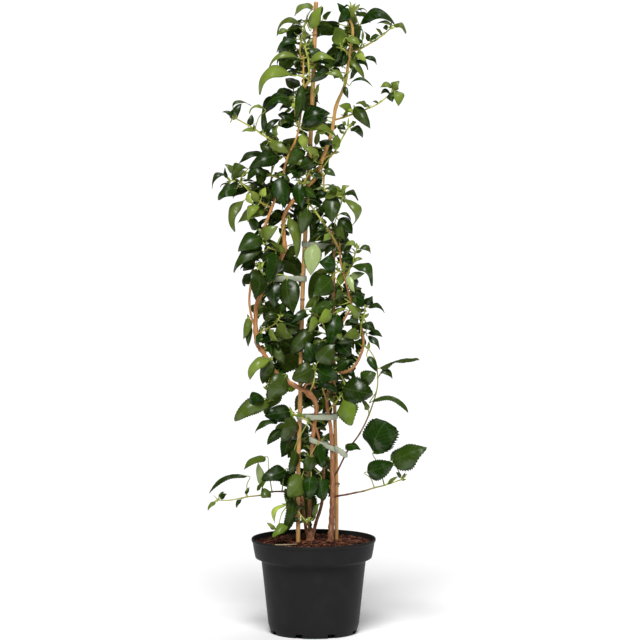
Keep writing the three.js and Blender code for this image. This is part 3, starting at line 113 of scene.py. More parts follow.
# Blades. Kinds of leaf: d dark, m mid-green, y young, p pale; with teeth t dark, u lighter, r round
TOOTHED = "tur"
ROUND_FORM, TOOTHED_FORM, SMOOTH_FORM = (0.5, 0.35), (0.42, 0.72), (0.62, 1.0)  # p and q in half_width
KNEE = 0.42  # where along its chord a blade's arch is highest
LEAN_SIDE = 200.0
LEAN_OUT = 0.25
RIM_FOOT, RIM_SPAN = 0.05, 0.93  # where the teeth begin along a blade, and how far they run
TOOTH_STEP = 3.2
TEETH = (8, 15)
TOOTH_POINT = 0.72  # where in a tooth its point lies
TOOTH_ROOT, TOOTH_DEPTH = 0.94, 0.13  # rim at a notch and its rise to a point, as shares of the half width
SMOOTH_ROWS = 20
BLADE_COLUMNS = 9
VEIN_SLANT = 0.85
VEIN_SHARE, VEIN_STEPS = 7.5, (2.4, 6.5)  # length over the distance of side veins, and its limits
FOLD = 0.15  # slope of a blade's halves down from its midrib
BOAT = 0.2  # how far the sides of a blade bend down at its widest, as a share of its half width
TIP_CURL = 0.1  # how far its tip hangs, as a share of its length
CURL_FROM = 0.6
TWIST = 0.45  # greatest turn of a blade about its midrib, in radians
BEND = 0.05  # greatest sideways bend of a midrib, as a share of its length
LOPSIDED = 0.12  # how much wider one side of a blade can be
RIPPLE = 0.1  # greatest height of the ripples of its rim, as a share of its width
RIPPLE_WAVES = 1.6
QUILT = 0.05  # height of the bulges between veins, as a share of their distance
LIFT = 1.2  # how far the middle of a blade rises above the solid's
TINT_SPREAD = 0.7  # greatest change of a blade's brightness, as a power of two
TINT_PALING = 0.35

# Shoots at the back
BACK_RADIUS = 1.2
BACK_DEPTH = 76.0
BACK_SPAN = 58.0
BACK_RISE = [(0.55, 0.16), (1, 0.34)]  # nodes: how far out and how high, as shares of the length
MOST_SIDEWAYS = 0.97

# Leaves of a shoot at the back: which node, how far turned off its heading and how far it rises, in degrees
BACK_LEAVES = [(1, 78, -8), (1, -78, -18), (2, 66, 8), (2, -66, -2), (2, 0, 42)]

# How far the foliage reaches to the left and right: [height, left, right]
REACH = [
    [120, -30, 8], [160, -34, 24], [200, -48, 26], [240, -46, 30], [280, -56, 54], [320, -66, 54],
    [360, -72, 70], [400, -68, 66], [440, -68, 42], [470, -80, 44], [500, -70, 40], [530, -80, 40],
    [560, -84, 16], [580, -72, 22], [610, -46, 32], [640, -54, 14], [665, -40, 36], [690, -50, 50],
    [710, -44, 56], [740, -34, 60],
]

# Gaps in the foliage as seen from the front: [left, right, low, high]
GAPS = [
    [-67, -55, 388, 414], [-47, -39, 394, 408], [-42, -22, 592, 608], [2, 12, 592, 608], [5, 30, 648, 670],
    [-62, -22, 652, 670], [9, 27, 630, 650], [-46, -20, 268, 292], [-76, -57, 255, 270], [32, 50, 228, 250],
    [-53, -35, 170, 192], [29, 58, 180, 220], [8, 18, 708, 728], [18, 38, 730, 750], [-15, -5, 728, 752],
    [-22, -14, 428, 450], [26, 33, 412, 446], [32, 50, 488, 510], [14, 34, 548, 592], [-4, 18, 140, 162],
]

# Leaves that only the look has, where the foliage is closed: [base x, y, height, tip x, y, height, width,
# arch, roll, kind]. Each grows from the nearest shoot or stem.
FILLERS = [
    [6, -12, 404, -2, -16, 378, 13, 3, 50, "u"], [30, -9, 399, 6, -14, 394, 14, 8, 30, "d"],
    [-6, -14, 386, -26, -18, 376, 10, 4, 30, "d"], [-18, 6, 334, -50, 10, 314, 26, 5, 60, "t"],
    [-62, -10, 580, -91, -14, 566, 14, 6, 30, "d"], [-76, -4, 540, -99, -6, 526, 14, 5, 40, "d"],
    [-38, 10, 510, -55, 14, 488, 15, 4, 50, "d"], [14, 14, 264, 1, 18, 243, 16, 2, 60, "t"],
    [-40, -6, 648, -62, -8, 624, 16, 6, 40, "d"], [-98, -12, 620, -86, -14, 641, 12, 3, 60, "d"],
    [10, -2, 536, -9, 0, 519, 13, 3, 50, "d"], [13, -4, 406, -12, -6, 393, 13, 4, 40, "m"],
    [4, 6, 512, -3, 8, 476, 15, 2, 70, "d"], [43, -4, 692, 62, -6, 668, 11, 5, 40, "m"],
    [-40, 4, 290, -62, 6, 267, 17, 3, 60, "t"], [3, 10, 374, -12, 12, 352, 15, 2, 60, "t"],
    [-13, 10, 520, -24, 12, 497, 13, 2, 60, "d"], [38, -2, 438, 27, -4, 418, 11, 2, 50, "m"],
    [-80, -10, 557, -99, -12, 547, 11, 4, 40, "d"], [-21, -6, 568, -36, -8, 553, 11, 3, 50, "d"],
    [-94, -12, 555, -106, -14, 567, 9, 2, 50, "m"], [14, 4, 286, 4, 2, 265, 10, 2, 60, "m"],
    [-21, 12, 469, -33, 14, 453, 13, 2, 60, "d"], [-15, 8, 377, -31, 10, 361, 13, 2, 60, "t"],
    [44, -6, 453, 33, -8, 436, 10, 2, 50, "y"], [0, -6, 718, -11, -8, 703, 8, 2, 50, "m"],
    [9, 6, 549, -6, 8, 535, 12, 2, 60, "d"], [37, -4, 747, 28, -6, 760, 9, 2, 60, "d"],
    [3, -8, 590, 6, -10, 608, 7, 1, 60, "m"],
]

# Small leaves that only the look has, between the large ones
INNER_KINDS = {True: "ttttu", False: "ddddm"}  # drawn from, where a shoot is toothed or not
INNER_STEP = 6.5
INNER_LENGTHS = (14.0, 32.0)
INNER_DROP = (-0.9, 0.15)
INNER_STALKS = (3.5, 7.0)
INNER_RISE = (0.0, 4.0)
INNER_WIDTHS = (0.42, 0.56)  # and arches, as shares of the length
INNER_ARCHES = (0.12, 0.24)
INNER_ROLLS = (5.0, 45.0)
INNER_CLEAR = 1.7
INNER_TURNS = (0.0, 0.5, -0.5, 1.0, -1.0, 1.4, -1.4, 0.2)
SHRINK = 0.9  # each next try of a leaf is this much shorter
INNER_LOW = (-124.0, -72.0, 122.0)
INNER_HIGH = (126.0, 74.0, 755.0)
SPROUT_LENGTHS = (20.0, 36.0)
SPROUT_TURNS = (1.6, 0.9, 2.3, 0.3, 2.9, 1.6)
SPROUT_SWAY = (-0.2, 0.3)
SPROUT_SKIP = 2
LOWEST_SPROUT = 150.0
TOOTHED_BELOW = 330.0
AXIL_LENGTHS = (6.0, 13.0)
AXIL_KINDS = "dmmy"
WOODY_SHOOTS = ("leaves_runner_left", "leaves_runner_right", "leaves_thin_right")

# Stage: lamps with their side, strength and spread in degrees
LAMPS = {"key": ((-0.06, -1.0, 1.35), 3.4, 26), "crown": ((0.5, 0.7, 1.6), 0.8, 50)}
SKY = 0.1
FLOOR_HALF = 40000.0
AIM = (0.0077, 0.0, 0.3793)

# Canes and woody stems: points [x, y, height as seen], radii from foot to tip
CANES = {
  "cane_left": {
    "points": [[-18.6, -10, 110], [-18.4, -10, 200], [-16.5, -10, 265], [-13.5, -9, 400], [-9, -8, 500],
      [-5.5, -8, 560], [-1.3, -8, 648], [3, -8, 761]],
    "radius": 2.6,
    "joints": [218, 405, 590, 722],
  },
  "cane_right": {
    "points": [[27.7, 9, 111], [27.8, 9, 183], [26, 9, 250], [24.5, 9, 330], [24, 9, 410], [23.5, 9, 494]],
    "radius": 2.2,
    "joints": [180, 350],
  },
}

STEMS = {
  "stem_left": [
    {"points": [[-4, 0, ROOT_DEPTH], [-4, 0, 116], [-3, 0, 128]], "radii": [6.6, 4.2]},
    {"points": [[-5, -1, 116], [-9, -3, 125], [-11, -2, 140], [-13, 0, 160],
      [-16, 2, 172]], "radii": [2.6, 1.6]},
    {"points": [[-1, 1, 118], [3, 2, 134], [9.7, 3, 157], [12, 2, 185], [11.5, 0, 205], [8, -3, 230],
      [2.5, -7, 250]],
      "radii": [2.4, 1.7]},
    {
      "points": [[-4, 0, 120], [-5, -2, 135], [-5, -3, 165], [-6, -4, 190], [-3, -5, 205], [0, -6, 245],
        [3.2, -10, 276], [-5, -15, 291], [-13.5, -17, 295.4], [-29.5, -17, 304], [-45.5, -16, 315.6],
        [-59, -13, 337.7], [-68, -11, 352], [-69.5, -9, 379], [-67.5, -7, 400], [-55, -5, 425],
        [-43, -5, 445], [-35, -7, 466], [-36.2, -8, 492], [-33.5, -12, 509], [-18.6, -17, 530],
        [-7.2, -18.5, 541], [2.5, -17, 551.6], [11.8, -11, 576], [22, -7, 606], [26.8, -6, 636],
        [37.8, -5, 664], [42.8, -5, 699], [46.3, -4, 717],
        [46.3, -3, 731], [42, -3, 743]],
      "radii": [2.7, 3.3, 3.3, 2.2],
    },
    {"points": [[3.2, -10, 276], [-2, -14, 284], [-9, -16, 290], [-10, -17, 300], [-3, -17, 303],
      [2, -14, 296]],
      "radii": [1.4, 2.0]},
    {
      "points": [[-69, -10, 368], [-74.3, -12, 383], [-77, -12, 402], [-75, -12, 424], [-70.3, -12, 454],
        [-60, -12, 487], [-50, -12, 514], [-40, -12, 540], [-32, -12, 572], [-22.5, -14, 593],
        [-18, -15, 609],
        [-12, -15, 650], [-12, -14, 668], [-12, -12, 698]],
      "radii": [1.5, 2.4, 1.8, 1.4],
    },
  ],
  "stem_right": [
    {
      "points": [[20, -4, ROOT_DEPTH], [21.3, -4, 126], [22.5, -4, 155], [23, -4, 191], [21, -3, 245],
        [16, -3, 282],
        [24, -3, 314], [38, -5, 316], [51, -6, 326], [60, -6, 350], [56, -5, 377]],
      "radii": [4.6, 3.2, 2.2, 1.8],
    },
    {
      "points": [[22, -3, 305], [24, -3, 330], [26, -4, 352], [33, -6, 373], [45, -8, 396], [42, -7, 411],
        [37, -6, 432],
        [32.5, -6, 449], [30.5, -7, 474]],
      "radii": [1.6, 1.5],
    },
  ],
}

# Ties: height at x = 0, rise for each millimetre to the right, and the span and the pieces that they hold
TIES = {
  "tie_low_slanted": {
    "z": 234, "slope": -0.42, "reach": [-8, 40], "round": ["cane_right", "stem_left", "stem_right"],
  },
  "tie_low": {
    "z": 263, "slope": -0.04, "reach": [-30, 40],
    "round": ["cane_left", "cane_right", "stem_left", "stem_right"],
  },
  "tie_middle": {"z": 430, "slope": 0.0, "reach": [-62, 0], "round": ["cane_left", "stem_left"]},
  "tie_high": {"z": 470, "slope": -0.15, "reach": [-20, 35], "round": ["cane_left", "cane_right"]},
}

# Leafy shoots: the stem that each grows from, the radius and path of its own stem, and leaves as in FILLERS
SHOOTS = {
  "top_left": {
    "from": "stem_left", "radius": 1.3,
    "path": [[-12, -12, 692], [-16.5, -12, 698], [-14.5, -10, 716], [-9, -8, 738]],
    "leaves": [
      [-1, -10, 755, -26, -20, 746, 13, 9, 28, "m"], [-3, -12, 729, 9, -18, 757, 15, 2, 70, "m"],
      [4, -6, 742, 12, 0, 756, 7, 1, 40, "d"], [11, -2, 741, 21, 4, 750, 9, 1, 60, "d"],
      [6, -4, 734, 23, 2, 731, 8, 4, 30, "d"], [-14, -8, 732, -47, -14, 721, 12, 18, 25, "m"],
      [-30, 0, 727, -45, 4, 720, 9, 5, 40, "m"], [-18, -2, 733, -34, 4, 710, 17, 3, 60, "d"],
      [-16, -10, 709, -46, -18, 700, 11, 12, 25, "d"], [-11, -15, 713, -12, -16, 733, 16, 2, 90, "y"],
      [2, 0, 728, 9, 10, 720, 9, 2, 60, "d"], [-16, 0, 722, -26, 20, 730, 14, 6, 20, "d"],
    ],
  },
  "top_green": {
    "from": "stem_left", "radius": 1.7,
    "path": [[-12, -15, 655], [-5, -17, 668], [-5.4, -17, 682], [-7, -17, 695], [-10.7, -17, 708]],
    "leaves": [
      [-18, -18, 694, -57, -24, 681, 11, 13, 28, "m"], [-26, -20, 674, -70, -30, 650, 21, 25, 36, "m"],
      [-4, -20, 691, 27, -28, 692, 15, 12, 40, "m"], [2, -16, 651, 7, -22, 664, 8, 1, 70, "y"],
    ],
  },
  "crown_right": {
    "from": "stem_left", "radius": 1.2,
    "path": [[42, -3, 742], [45, -2, 748], [46, 0, 753]],
    "leaves": [
      [42, -6, 752, 30, -13, 735, 17, 4, 60, "d"], [44, 3, 753, 34, 7, 752, 7, 5, 15, "m"],
      [43, -6, 744, 55, -14, 758, 12, 2, 60, "y"], [51, 1, 750, 65, 5, 750, 7, 3, 10, "m"],
      [56, -8, 735, 101, -18, 737, 20, 17, 34, "d"], [50, 4, 745, 70, 22, 738, 14, 6, 30, "d"],
    ],
  },
  "tip_right": {
    "from": "stem_left", "radius": 1.3,
    "path": [[45, -4, 700], [55, -8, 704.7], [70, -12, 713], [82, -14, 721], [92, -16, 729.5]],
    "leaves": [
      [95, -17, 733, 111, -22, 723, 10, 6, 28, "m"], [93, -16, 733, 75, -22, 736, 7, 4, 25, "m"],
      [89, -16, 731, 82, -20, 730, 7, 2, 60, "d"], [68, -12, 716, 79, -18, 721, 8, 2, 50, "d"],
      [66, -11, 714, 61, -17, 726, 8, 2, 50, "d"], [58, -10, 714, 57, -18, 731, 8, 1, 60, "y"],
      [53, -10, 701, 63, -22, 690, 10, 3, 55, "y"], [60, -8, 694, 77, -12, 686, 9, 5, 20, "d"],
      [50, -6, 691, 67, -10, 680, 9, 5, 20, "d"],
    ],
  },
  "high_middle": {
    "from": "stem_left", "radius": 1.2,
    "path": [[43, -5, 699], [38, -9, 703], [33, -11, 706]],
    "leaves": [
      [33, -11, 706, 26, -22, 731, 20, 3, -65, "m"], [40, -12, 717, 57, -18, 709, 11, 3, 50, "m"],
      [33, -9, 703, 26, -14, 689, 9, 2, 60, "d"], [40, -10, 698, 33, -16, 683, 10, 2, 60, "d"],
    ],
  },
  "high_arches": {
    "from": "stem_left", "radius": 1.2,
    "path": [[37.8, -5, 664], [36, -11, 668], [35, -15, 670]],
    "leaves": [
      [35, -15, 666, 9, -26, 674, 12, 12, 35, "m"], [18, -18, 681, -4, -30, 663, 13, 6, 50, "d"],
      [44, -8, 663, 71, -14, 660, 6, 9, 15, "d"], [51, -8, 684, 43, -14, 668, 11, 2, 60, "d"],
      [37, -10, 660, 41, -16, 645, 7, 2, 50, "d"],
    ],
  },
  "left_dome": {
    "from": "stem_left", "radius": 1.3,
    "path": [[-18, -15, 612], [-20, -20, 617], [-22, -21, 636], [-16, -20, 655]],
    "leaves": [
      [-26, -22, 638, -60, -30, 636, 22, 16, 38, "d"], [-13, -21, 661, -20, -29, 615, 13, 3, 40, "d"],
      [-19, -22, 645, -26, -27, 632, 8, 1, 60, "y"], [-21, -21, 618, -42, -30, 628, 15, 3, 62, "t"],
      [-14, -24, 616, 22, -36, 628, 28, 14, 50, "d"], [-14, -22, 612, 31, -32, 603, 14, 12, 35, "m"],
      [-12, -20, 603, -9, -29, 584, 14, 2, 12, "y"], [-24, -10, 640, -44, 8, 650, 18, 7, 25, "d"],
    ],
  },
  "left_arm": {
    "from": "stem_left", "radius": 1.3,
    "path": [[-27, -13, 583], [-40, -18, 590], [-62, -24, 603], [-70, -26, 609], [-93, -30, 622]],
    "leaves": [
      [-68, -26, 607, -86, -31, 606, 6, 3, 30, "m"], [-93, -30, 622, -109, -34, 630, 6, 3, 35, "d"],
      [-93, -31, 623, -73, -37, 639, 10, 17, 25, "d"], [-77, -27, 613, -73, -24, 627, 8, 1, 60, "d"],
      [-57, -22, 603, -38, -16, 621, 10, 8, 30, "d"], [-48, -21, 600, -42, -29, 615, 12, 2, 60, "m"],
      [-57, -23, 602, -60, -23, 638, 8, 1, 30, "d"], [-59, -24, 633, -78, -29, 628, 8, 8, 25, "m"],
      [-52, -21, 594, -27, -29, 581, 14, 3, 60, "m"],
    ],
  },
  "left_big": {
    "from": "stem_left", "radius": 1.3,
    "path": [[-37, -12, 548], [-43, -17, 551], [-51, -20, 553]],
    "leaves": [
      [-41, -18, 576, -79, -32, 561, 22, 12, 45, "d"], [-46, -14, 580, -66, -10, 592, 13, 4, 50, "d"],
      [-51, -20, 553, -81, -30, 546, 20, 16, 28, "d"], [-40, -19, 551, -33, -30, 514, 24, 2, 15, "d"],
      [-60, -14, 556, -67, -17, 540, 10, 2, 60, "d"],
    ],
  },
  "far_left": {
    "from": "stem_left", "radius": 1.4,
    "path": [[-50, -12, 514], [-64, -18, 522], [-76, -22, 534], [-88, -24, 546], [-99, -26, 547]],
    "leaves": [
      [-101, -26, 551, -121, -33, 537, 10, 12, 20, "d"], [-104, -25, 550, -106, -25, 563, 6, 1, 30, "d"],
      [-99, -26, 543, -113, -28, 540, 6, 2, 20, "d"], [-93, -26, 538, -115, -34, 524, 18, 7, 52, "d"],
      [-80, -24, 562, -98, -32, 549, 14, 12, 35, "d"], [-84, -24, 523, -95, -35, 484, 15, 13, 20, "m"],
      [-66, -20, 517, -79, -31, 497, 14, 9, 35, "m"], [-66, -22, 523, -75, -27, 535, 11, 2, 80, "y"],
      [-62, -21, 528, -57, -26, 539, 10, 2, 80, "y"], [-80, -25, 531, -72, -33, 519, 10, 2, 60, "y"],
      [-58, -14, 527, -46, -10, 533, 10, 2, 50, "d"], [-88, -18, 540, -104, 2, 532, 15, 6, 30, "d"],
      [-58, -6, 512, -92, -8, 496, 22, 8, 24, "m"],
    ],
  },
  "centre_upper": {
    "from": "stem_left", "radius": 1.2,
    "path": [[-12, -18, 537], [-12, -23, 543], [-6, -25, 556], [2, -25, 572]],
    "leaves": [
      [3, -25, 572, -17, -34, 561, 18, 4, 62, "d"], [-11, -25, 584, -31, -31, 566, 16, 3, 62, "d"],
      [5, -24, 578, -12, -32, 587, 12, 3, 50, "y"], [-18, -23, 544, -14, -33, 513, 17, 2, 10, "d"],
      [-18, -23, 551, -30, -33, 560, 12, 3, 55, "d"], [-12, -24, 538, 4, -32, 527, 14, 3, 50, "d"],
    ],
  },
  "left_low_knot": {
    "from": "stem_left", "radius": 1.4,
    "path": [[-35, -8, 461], [-45, -14, 464], [-54, -18, 467], [-62, -20, 474]],
    "leaves": [
      [-62, -20, 478, -91, -32, 462, 24, 7, 58, "d"], [-62, -17, 468, -98, -26, 437, 20, 11, 42, "d"],
      [-60, -12, 462, -89, -16, 440, 15, 7, 40, "d"], [-60, -21, 477, -42, -30, 492, 16, 3, 62, "m"],
      [-58, -20, 479, -66, -25, 490, 11, 2, 80, "m"], [-67, -17, 488, -77, -12, 505, 15, 2, 60, "d"],
      [-29, -14, 503, -18, -26, 451, 16, 11, -12, "m"], [-45, -16, 462, -54, -31, 424, 34, 4, 74, "d"],
    ],
  },
  "left_lower_bunch": {
    "from": "stem_left", "radius": 1.3,
    "path": [[-64, -7, 409], [-62, -14, 418], [-62, -19, 434], [-66, -22, 443]],
    "leaves": [
      [-68, -22, 443, -69, -33, 405, 28, 4, 76, "d"], [-70, -20, 447, -85, -24, 438, 12, 3, 50, "d"],
      [-48, -18, 425, -47, -29, 394, 22, 2, 20, "d"], [-32, -20, 429, -24, -33, 386, 28, 3, 15, "d"],
      [-64, -24, 441, -59, -29, 450, 7, 1, 60, "y"], [-63, -23, 441, -68, -28, 449, 6, 1, 60, "y"],
      [-70, -6, 430, -86, 12, 420, 18, 7, 30, "d"],
    ],
  },
  "twig_left": {
    "from": "stem_left", "radius": 1.2,
    "path": [[-69, -11, 361], [-61.5, -14, 366], [-54, -16, 370], [-45, -19, 376], [-40, -20, 384]],
    "leaves": [
      [-41, -20, 386, -60, -27, 382, 12, 4, 40, "d"], [-39, -20, 388, -34, -25, 402, 12, 2, 80, "d"],
      [-38, -20, 385, -23, -29, 384, 9, 2, 40, "d"], [-45, -20, 375, -26, -31, 356, 20, 4, 62, "m"],
      [-52, -17, 368, -44, -27, 352, 15, 3, 60, "m"], [-62, -14, 364, -70, -8, 346, 10, 2, 50, "d"],
      [-20, -14, 376, -46, -16, 352, 20, 5, 50, "t"],
    ],
  },
  "left_fringe": {
    "from": "stem_left", "radius": 1.1,
    "path": [[-74.3, -12, 383], [-78, -18, 382]],
    "leaves": [
      [-77, -20, 383, -84, -27, 355, 10, 4, 55, "m"], [-75, -17, 371, -78, -22, 346, 8, 3, 40, "d"],
    ],
  },
  "right_arm": {
    "from": "stem_left", "radius": 1.2,
    "path": [[25, -6, 619], [36, -10, 623], [50, -14, 628], [66, -17, 634], [78, -19, 640], [93, -22, 652]],
    "leaves": [
      [49, -15, 636, 69, -29, 610, 16, 5, 55, "d"], [66, -17, 635, 50, -23, 640, 10, 5, 35, "m"],
      [46, -12, 631, 30, -19, 637, 11, 2, 50, "m"], [94, -22, 654, 102, -25, 667, 12, 2, 50, "m"],
      [93, -20, 659, 78, -25, 659, 9, 6, 30, "m"], [91, -19, 652, 79, -23, 651, 7, 5, 25, "d"],
      [92, -23, 654, 94, -30, 641, 11, 2, 60, "d"], [100, -24, 654, 102, -34, 635, 14, 7, 40, "m"],
    ],
  },
  "right_branch": {
    "from": "stem_left", "radius": 1.3,
    "path": [[11.5, -11, 574], [24, -14, 580], [31, -14, 592], [37, -12, 603], [42, -10, 612]],
    "leaves": [
      [29, -15, 613, 39, -20, 608, 9, 3, 40, "d"], [43, -11, 610, 60, -19, 598, 12, 8, 32, "d"],
      [43, -10, 613, 51, -13, 618, 7, 1, 50, "m"], [40, -10, 613, 34, -13, 618, 7, 1, 50, "m"],
      [29, -15, 592, 12, -22, 590, 12, 3, 25, "d"], [27, -15, 584, 28, -23, 604, 11, 2, -60, "m"],
      [14, -17, 606, 2, -23, 604, 8, 2, 40, "m"], [12, -15, 560, 27, -19, 552, 10, 4, 30, "d"],
    ],
  },
  "centre_green": {
    "from": "stem_right", "radius": 1.6,
    "path": [[31.5, -7, 464], [24.5, -12, 477], [17, -15, 489], [11, -17, 497], [3.7, -18, 508],
      [-4.2, -19, 518], [-8, -20, 523]],
    "leaves": [
      [14, -19, 492, 4, -26, 486, 8, 2, 40, "d"], [17, -18, 486, -3, -27, 478, 9, 2, 35, "d"],
      [20, -17, 483, 12, -25, 474, 10, 2, 50, "m"], [1, -22, 470, -4, -35, 433, 23, 3, 10, "p"],
      [-7, -17, 514, -15, -21, 482, 22, 3, 70, "d"], [-8, -22, 525, -22, -30, 521, 11, 3, 50, "d"],
    ],
  },
  "right_middle": {
    "from": "stem_left", "radius": 1.3,
    "path": [[5, -15, 560], [12, -17, 553], [13, -17, 536], [24, -17, 529], [35, -16, 528]],
    "leaves": [
      [13, -19, 528, 37, -28, 533, 11, 3, 45, "m"], [28, -16, 536, 14, -24, 538, 14, 5, 45, "d"],
      [24, -19, 530, 22, -33, 496, 22, 3, 5, "d"], [33, -17, 533, 42, -23, 542, 10, 2, 55, "y"],
      [36, -16, 531, 54, -21, 523, 11, 9, 25, "d"], [35, -17, 526, 50, -26, 489, 16, 17, 10, "m"],
      [31, -15, 507, 46, -22, 499, 6, 5, 20, "d"], [30, -13, 501, 48, -18, 483, 18, 4, 60, "d"],
      [26, -16, 492, 37, -25, 475, 14, 3, 60, "d"],
    ],
  },
  "right_sprig": {
    "from": "stem_right", "radius": 1.2,
    "path": [[37, -6, 433], [43, -11, 441], [47, -12, 450], [50, -13, 460], [52, -14, 466]],
    "leaves": [
      [52, -14, 468, 36, -21, 470, 11, 7, 35, "m"], [54, -15, 466, 70, -23, 459, 11, 8, 30, "d"],
      [47, -13, 455, 32, -21, 452, 16, 4, 60, "d"], [46, -12, 444, 72, -22, 419, 17, 17, 20, "d"],
      [43, -13, 430, 61, -20, 436, 11, 2, 45, "p"], [41, -14, 432, 48, -21, 412, 10, 2, 60, "p"],
    ],
  },
  "centre_dark": {
    "from": "stem_right", "radius": 1.2,
    "path": [[36, -6, 437], [30, -11, 438], [23, -15, 434]],
    "leaves": [
      [23, -16, 432, -1, -32, 409, 27, 4, 66, "d"], [27, -16, 446, 6, -24, 449, 22, 5, 55, "d"],
      [34, -12, 415, 26, -21, 404, 13, 2, 60, "d"], [12, 2, 440, -8, 0, 404, 20, 4, 60, "d"],
    ],
  },
  "right_loop_tip": {
    "from": "stem_right", "radius": 1.3,
    "path": [[57, -5, 372], [60, -10, 382], [62, -12, 395]],
    "leaves": [
      [61, -14, 397, 47, -23, 409, 14, 3, 52, "d"], [62, -14, 396, 71, -18, 408, 12, 2, 85, "d"],
      [65, -12, 395, 87, -20, 389, 12, 8, 30, "d"], [56, -14, 385, 40, -24, 398, 16, 3, 60, "m"],
      [54, -13, 380, 41, -21, 378, 12, 3, 50, "d"], [58, -11, 375, 76, -17, 363, 14, 4, 40, "d"],
      [66, -9, 364, 83, -15, 359, 9, 3, 35, "d"], [66, -9, 360, 81, -15, 344, 10, 3, 35, "d"],
      [55, -14, 362, 35, -23, 358, 15, 7, 48, "m"],
    ],
  },
  "centre_pale": {
    "from": "stem_right", "radius": 1.1,
    "path": [[16.5, -3, 280], [11, -14, 300], [17, -15, 330], [19, -16, 349], [15.7, -20, 362],
      [10, -22, 377], [3.3, -22, 387]],
    "leaves": [
      [24, -20, 397, -5, -30, 390, 23, 8, 48, "d"], [20, -21, 391, 6, -31, 376, 18, 3, 70, "m"],
      [4, -22, 387, -5, -31, 364, 13, 2, 62, "m"], [28, -16, 387, 20, -30, 345, 22, 4, 5, "d"],
      [-9, -22, 391, -28, -30, 375, 11, 4, 42, "d"], [14, -14, 354, 6, -18, 314, 34, 4, 75, "t"],
      [-2, -14, 364, -30, -16, 338, 24, 4, 60, "t"], [28, -12, 354, 46, -14, 336, 20, 3, 60, "t"],
    ],
  },
  "left_low_arches": {
    "from": "stem_left", "radius": 1.2,
    "path": [[-45.5, -16, 315.6], [-52, -22, 310], [-55, -24, 295], [-52, -24, 284]],
    "leaves": [
      [-52, -22, 332, -79, -31, 305, 16, 12, 20, "m"], [-51, -8, 331, -62, -2, 301, 18, 3, 65, "d"],
      [-34, -24, 311, -54, -35, 283, 28, 3, 72, "t"], [-59, -24, 284, -80, -31, 274, 18, 14, 30, "t"],
      [-53, -24, 281, -96, -34, 256, 22, 10, 40, "u"],
    ],
  },
  "left_low_dark": {
    "from": "stem_left", "radius": 1.1,
    "path": [[1, -7, 250], [-6, -15, 256], [-14, -18, 261], [-26, -19, 267]],
    "leaves": [
      [-26, -19, 269, -59, -29, 264, 22, 3, 56, "t"], [-43, -20, 257, -74, -28, 244, 13, 6, 22, "t"],
      [-24, -19, 262, -37, -30, 231, 26, 3, 74, "t"], [-38, -18, 247, -57, -26, 229, 13, 3, 40, "t"],
      [-33, -16, 240, -37, -24, 212, 18, 3, 75, "t"], [-22, -17, 222, -29, -27, 192, 14, 3, 66, "t"],
    ],
  },
  "centre_low": {
    "from": "stem_left", "radius": 1.3,
    "path": [[-4, -15, 293], [0, -22, 304], [2, -24, 318]],
    "leaves": [
      [-1, -25, 322, -26, -36, 308, 26, 3, 70, "t"], [5, -25, 320, 28, -36, 309, 28, 3, 70, "t"],
      [0, -24, 327, -9, -32, 353, 26, 3, 76, "d"], [5, -22, 328, 25, -30, 351, 24, 3, 74, "d"],
    ],
  },
  "right_low": {
    "from": "stem_right", "radius": 1.2,
    "path": [[18, -3, 270], [26, -10, 279], [33, -14, 288], [38, -14, 300]],
    "leaves": [
      [35, -17, 297, 72, -29, 289, 34, 6, 62, "t"], [36, -16, 284, 45, -30, 251, 30, 4, 76, "u"],
      [56, -13, 305, 75, -20, 315, 19, 3, 68, "t"], [27, -14, 321, 46, -20, 333, 14, 2, 60, "d"],
      [30, -8, 290, 50, 14, 282, 24, 6, 30, "t"],
    ],
  },
  "thin_right": {
    "from": "stem_right", "radius": 1.1,
    "path": [[22.5, -4, 188], [29, -8, 197], [41.5, -9, 222], [55.5, -9, 242], [66.6, -8, 265],
      [75.3, -8, 292], [77, -8, 309],
      [74.3, -8, 330], [66, -8, 345]],
    "leaves": [
      [80, -9, 322, 126, -22, 336, 24, 1, -8, "t"], [79, -9, 313, 96, -16, 308, 13, 10, 25, "t"],
      [70, -10, 281, 116, -20, 269, 16, 10, -4, "t"], [66, -10, 271, 58, -14, 283, 9, 2, 50, "m"],
      [38, -12, 226, 58, -18, 224, 12, 4, 40, "t"], [65, -9, 335, 76, -13, 316, 10, 3, 50, "d"],
    ],
  },
  "runner_left": {
    "from": "stem_left", "radius": 1.1,
    "path": [[-15.5, 2, 170], [-26, 0, 171.5], [-38, -4, 171.5], [-50, -8, 171], [-63, -11, 167],
      [-80, -14, 165],
      [-100, -17, 161], [-115, -19, 161]],
    "leaves": [
      [-58, -14, 213, -86, -25, 200, 14, 5, 24, "u"], [-62, -16, 179, -67, -22, 208, 11, 1, 60, "p"],
      [-60, -16, 183, -69, -25, 172, 12, 1, -60, "u"], [-34, -10, 198, -63, -23, 187, 20, 3, 56, "t"],
      [-80, -18, 190, -128.5, -26, 170, 15, 9, -6, "t"], [-53, -14, 172, -63, -23, 165, 14, 2, 60, "u"],
      [-82, -14, 168, -77, -14, 177, 5, 1, 40, "d"], [-87, -15, 162, -93, -18, 151, 6, 2, 30, "d"],
      [-115, -19, 163, -107, -19, 172, 5, 1, 40, "m"], [-112, -19, 163, -104, -23, 169, 7, 1, 50, "d"],
      [-116, -19, 161, -127.5, -24, 148, 7, 3, 30, "m"],
    ],
  },
  "low_centre": {
    "from": "stem_left", "radius": 1.1,
    "path": [[-6, -4, 198], [-7, -12, 206], [-6, -17, 211]],
    "leaves": [
      [-14, -20, 190, -31, -30, 165, 28, 3, 76, "u"], [-3, -19, 191, -5, -29, 161, 19, 3, 10, "t"],
      [9, -16, 187, 13, -27, 160, 21, 3, 25, "t"], [0, -18, 213, -11, -26, 195, 20, 3, 70, "t"],
      [6, -16, 229, 12, -24, 200, 20, 3, 70, "t"],
    ],
  },
  "foot_sprigs": {
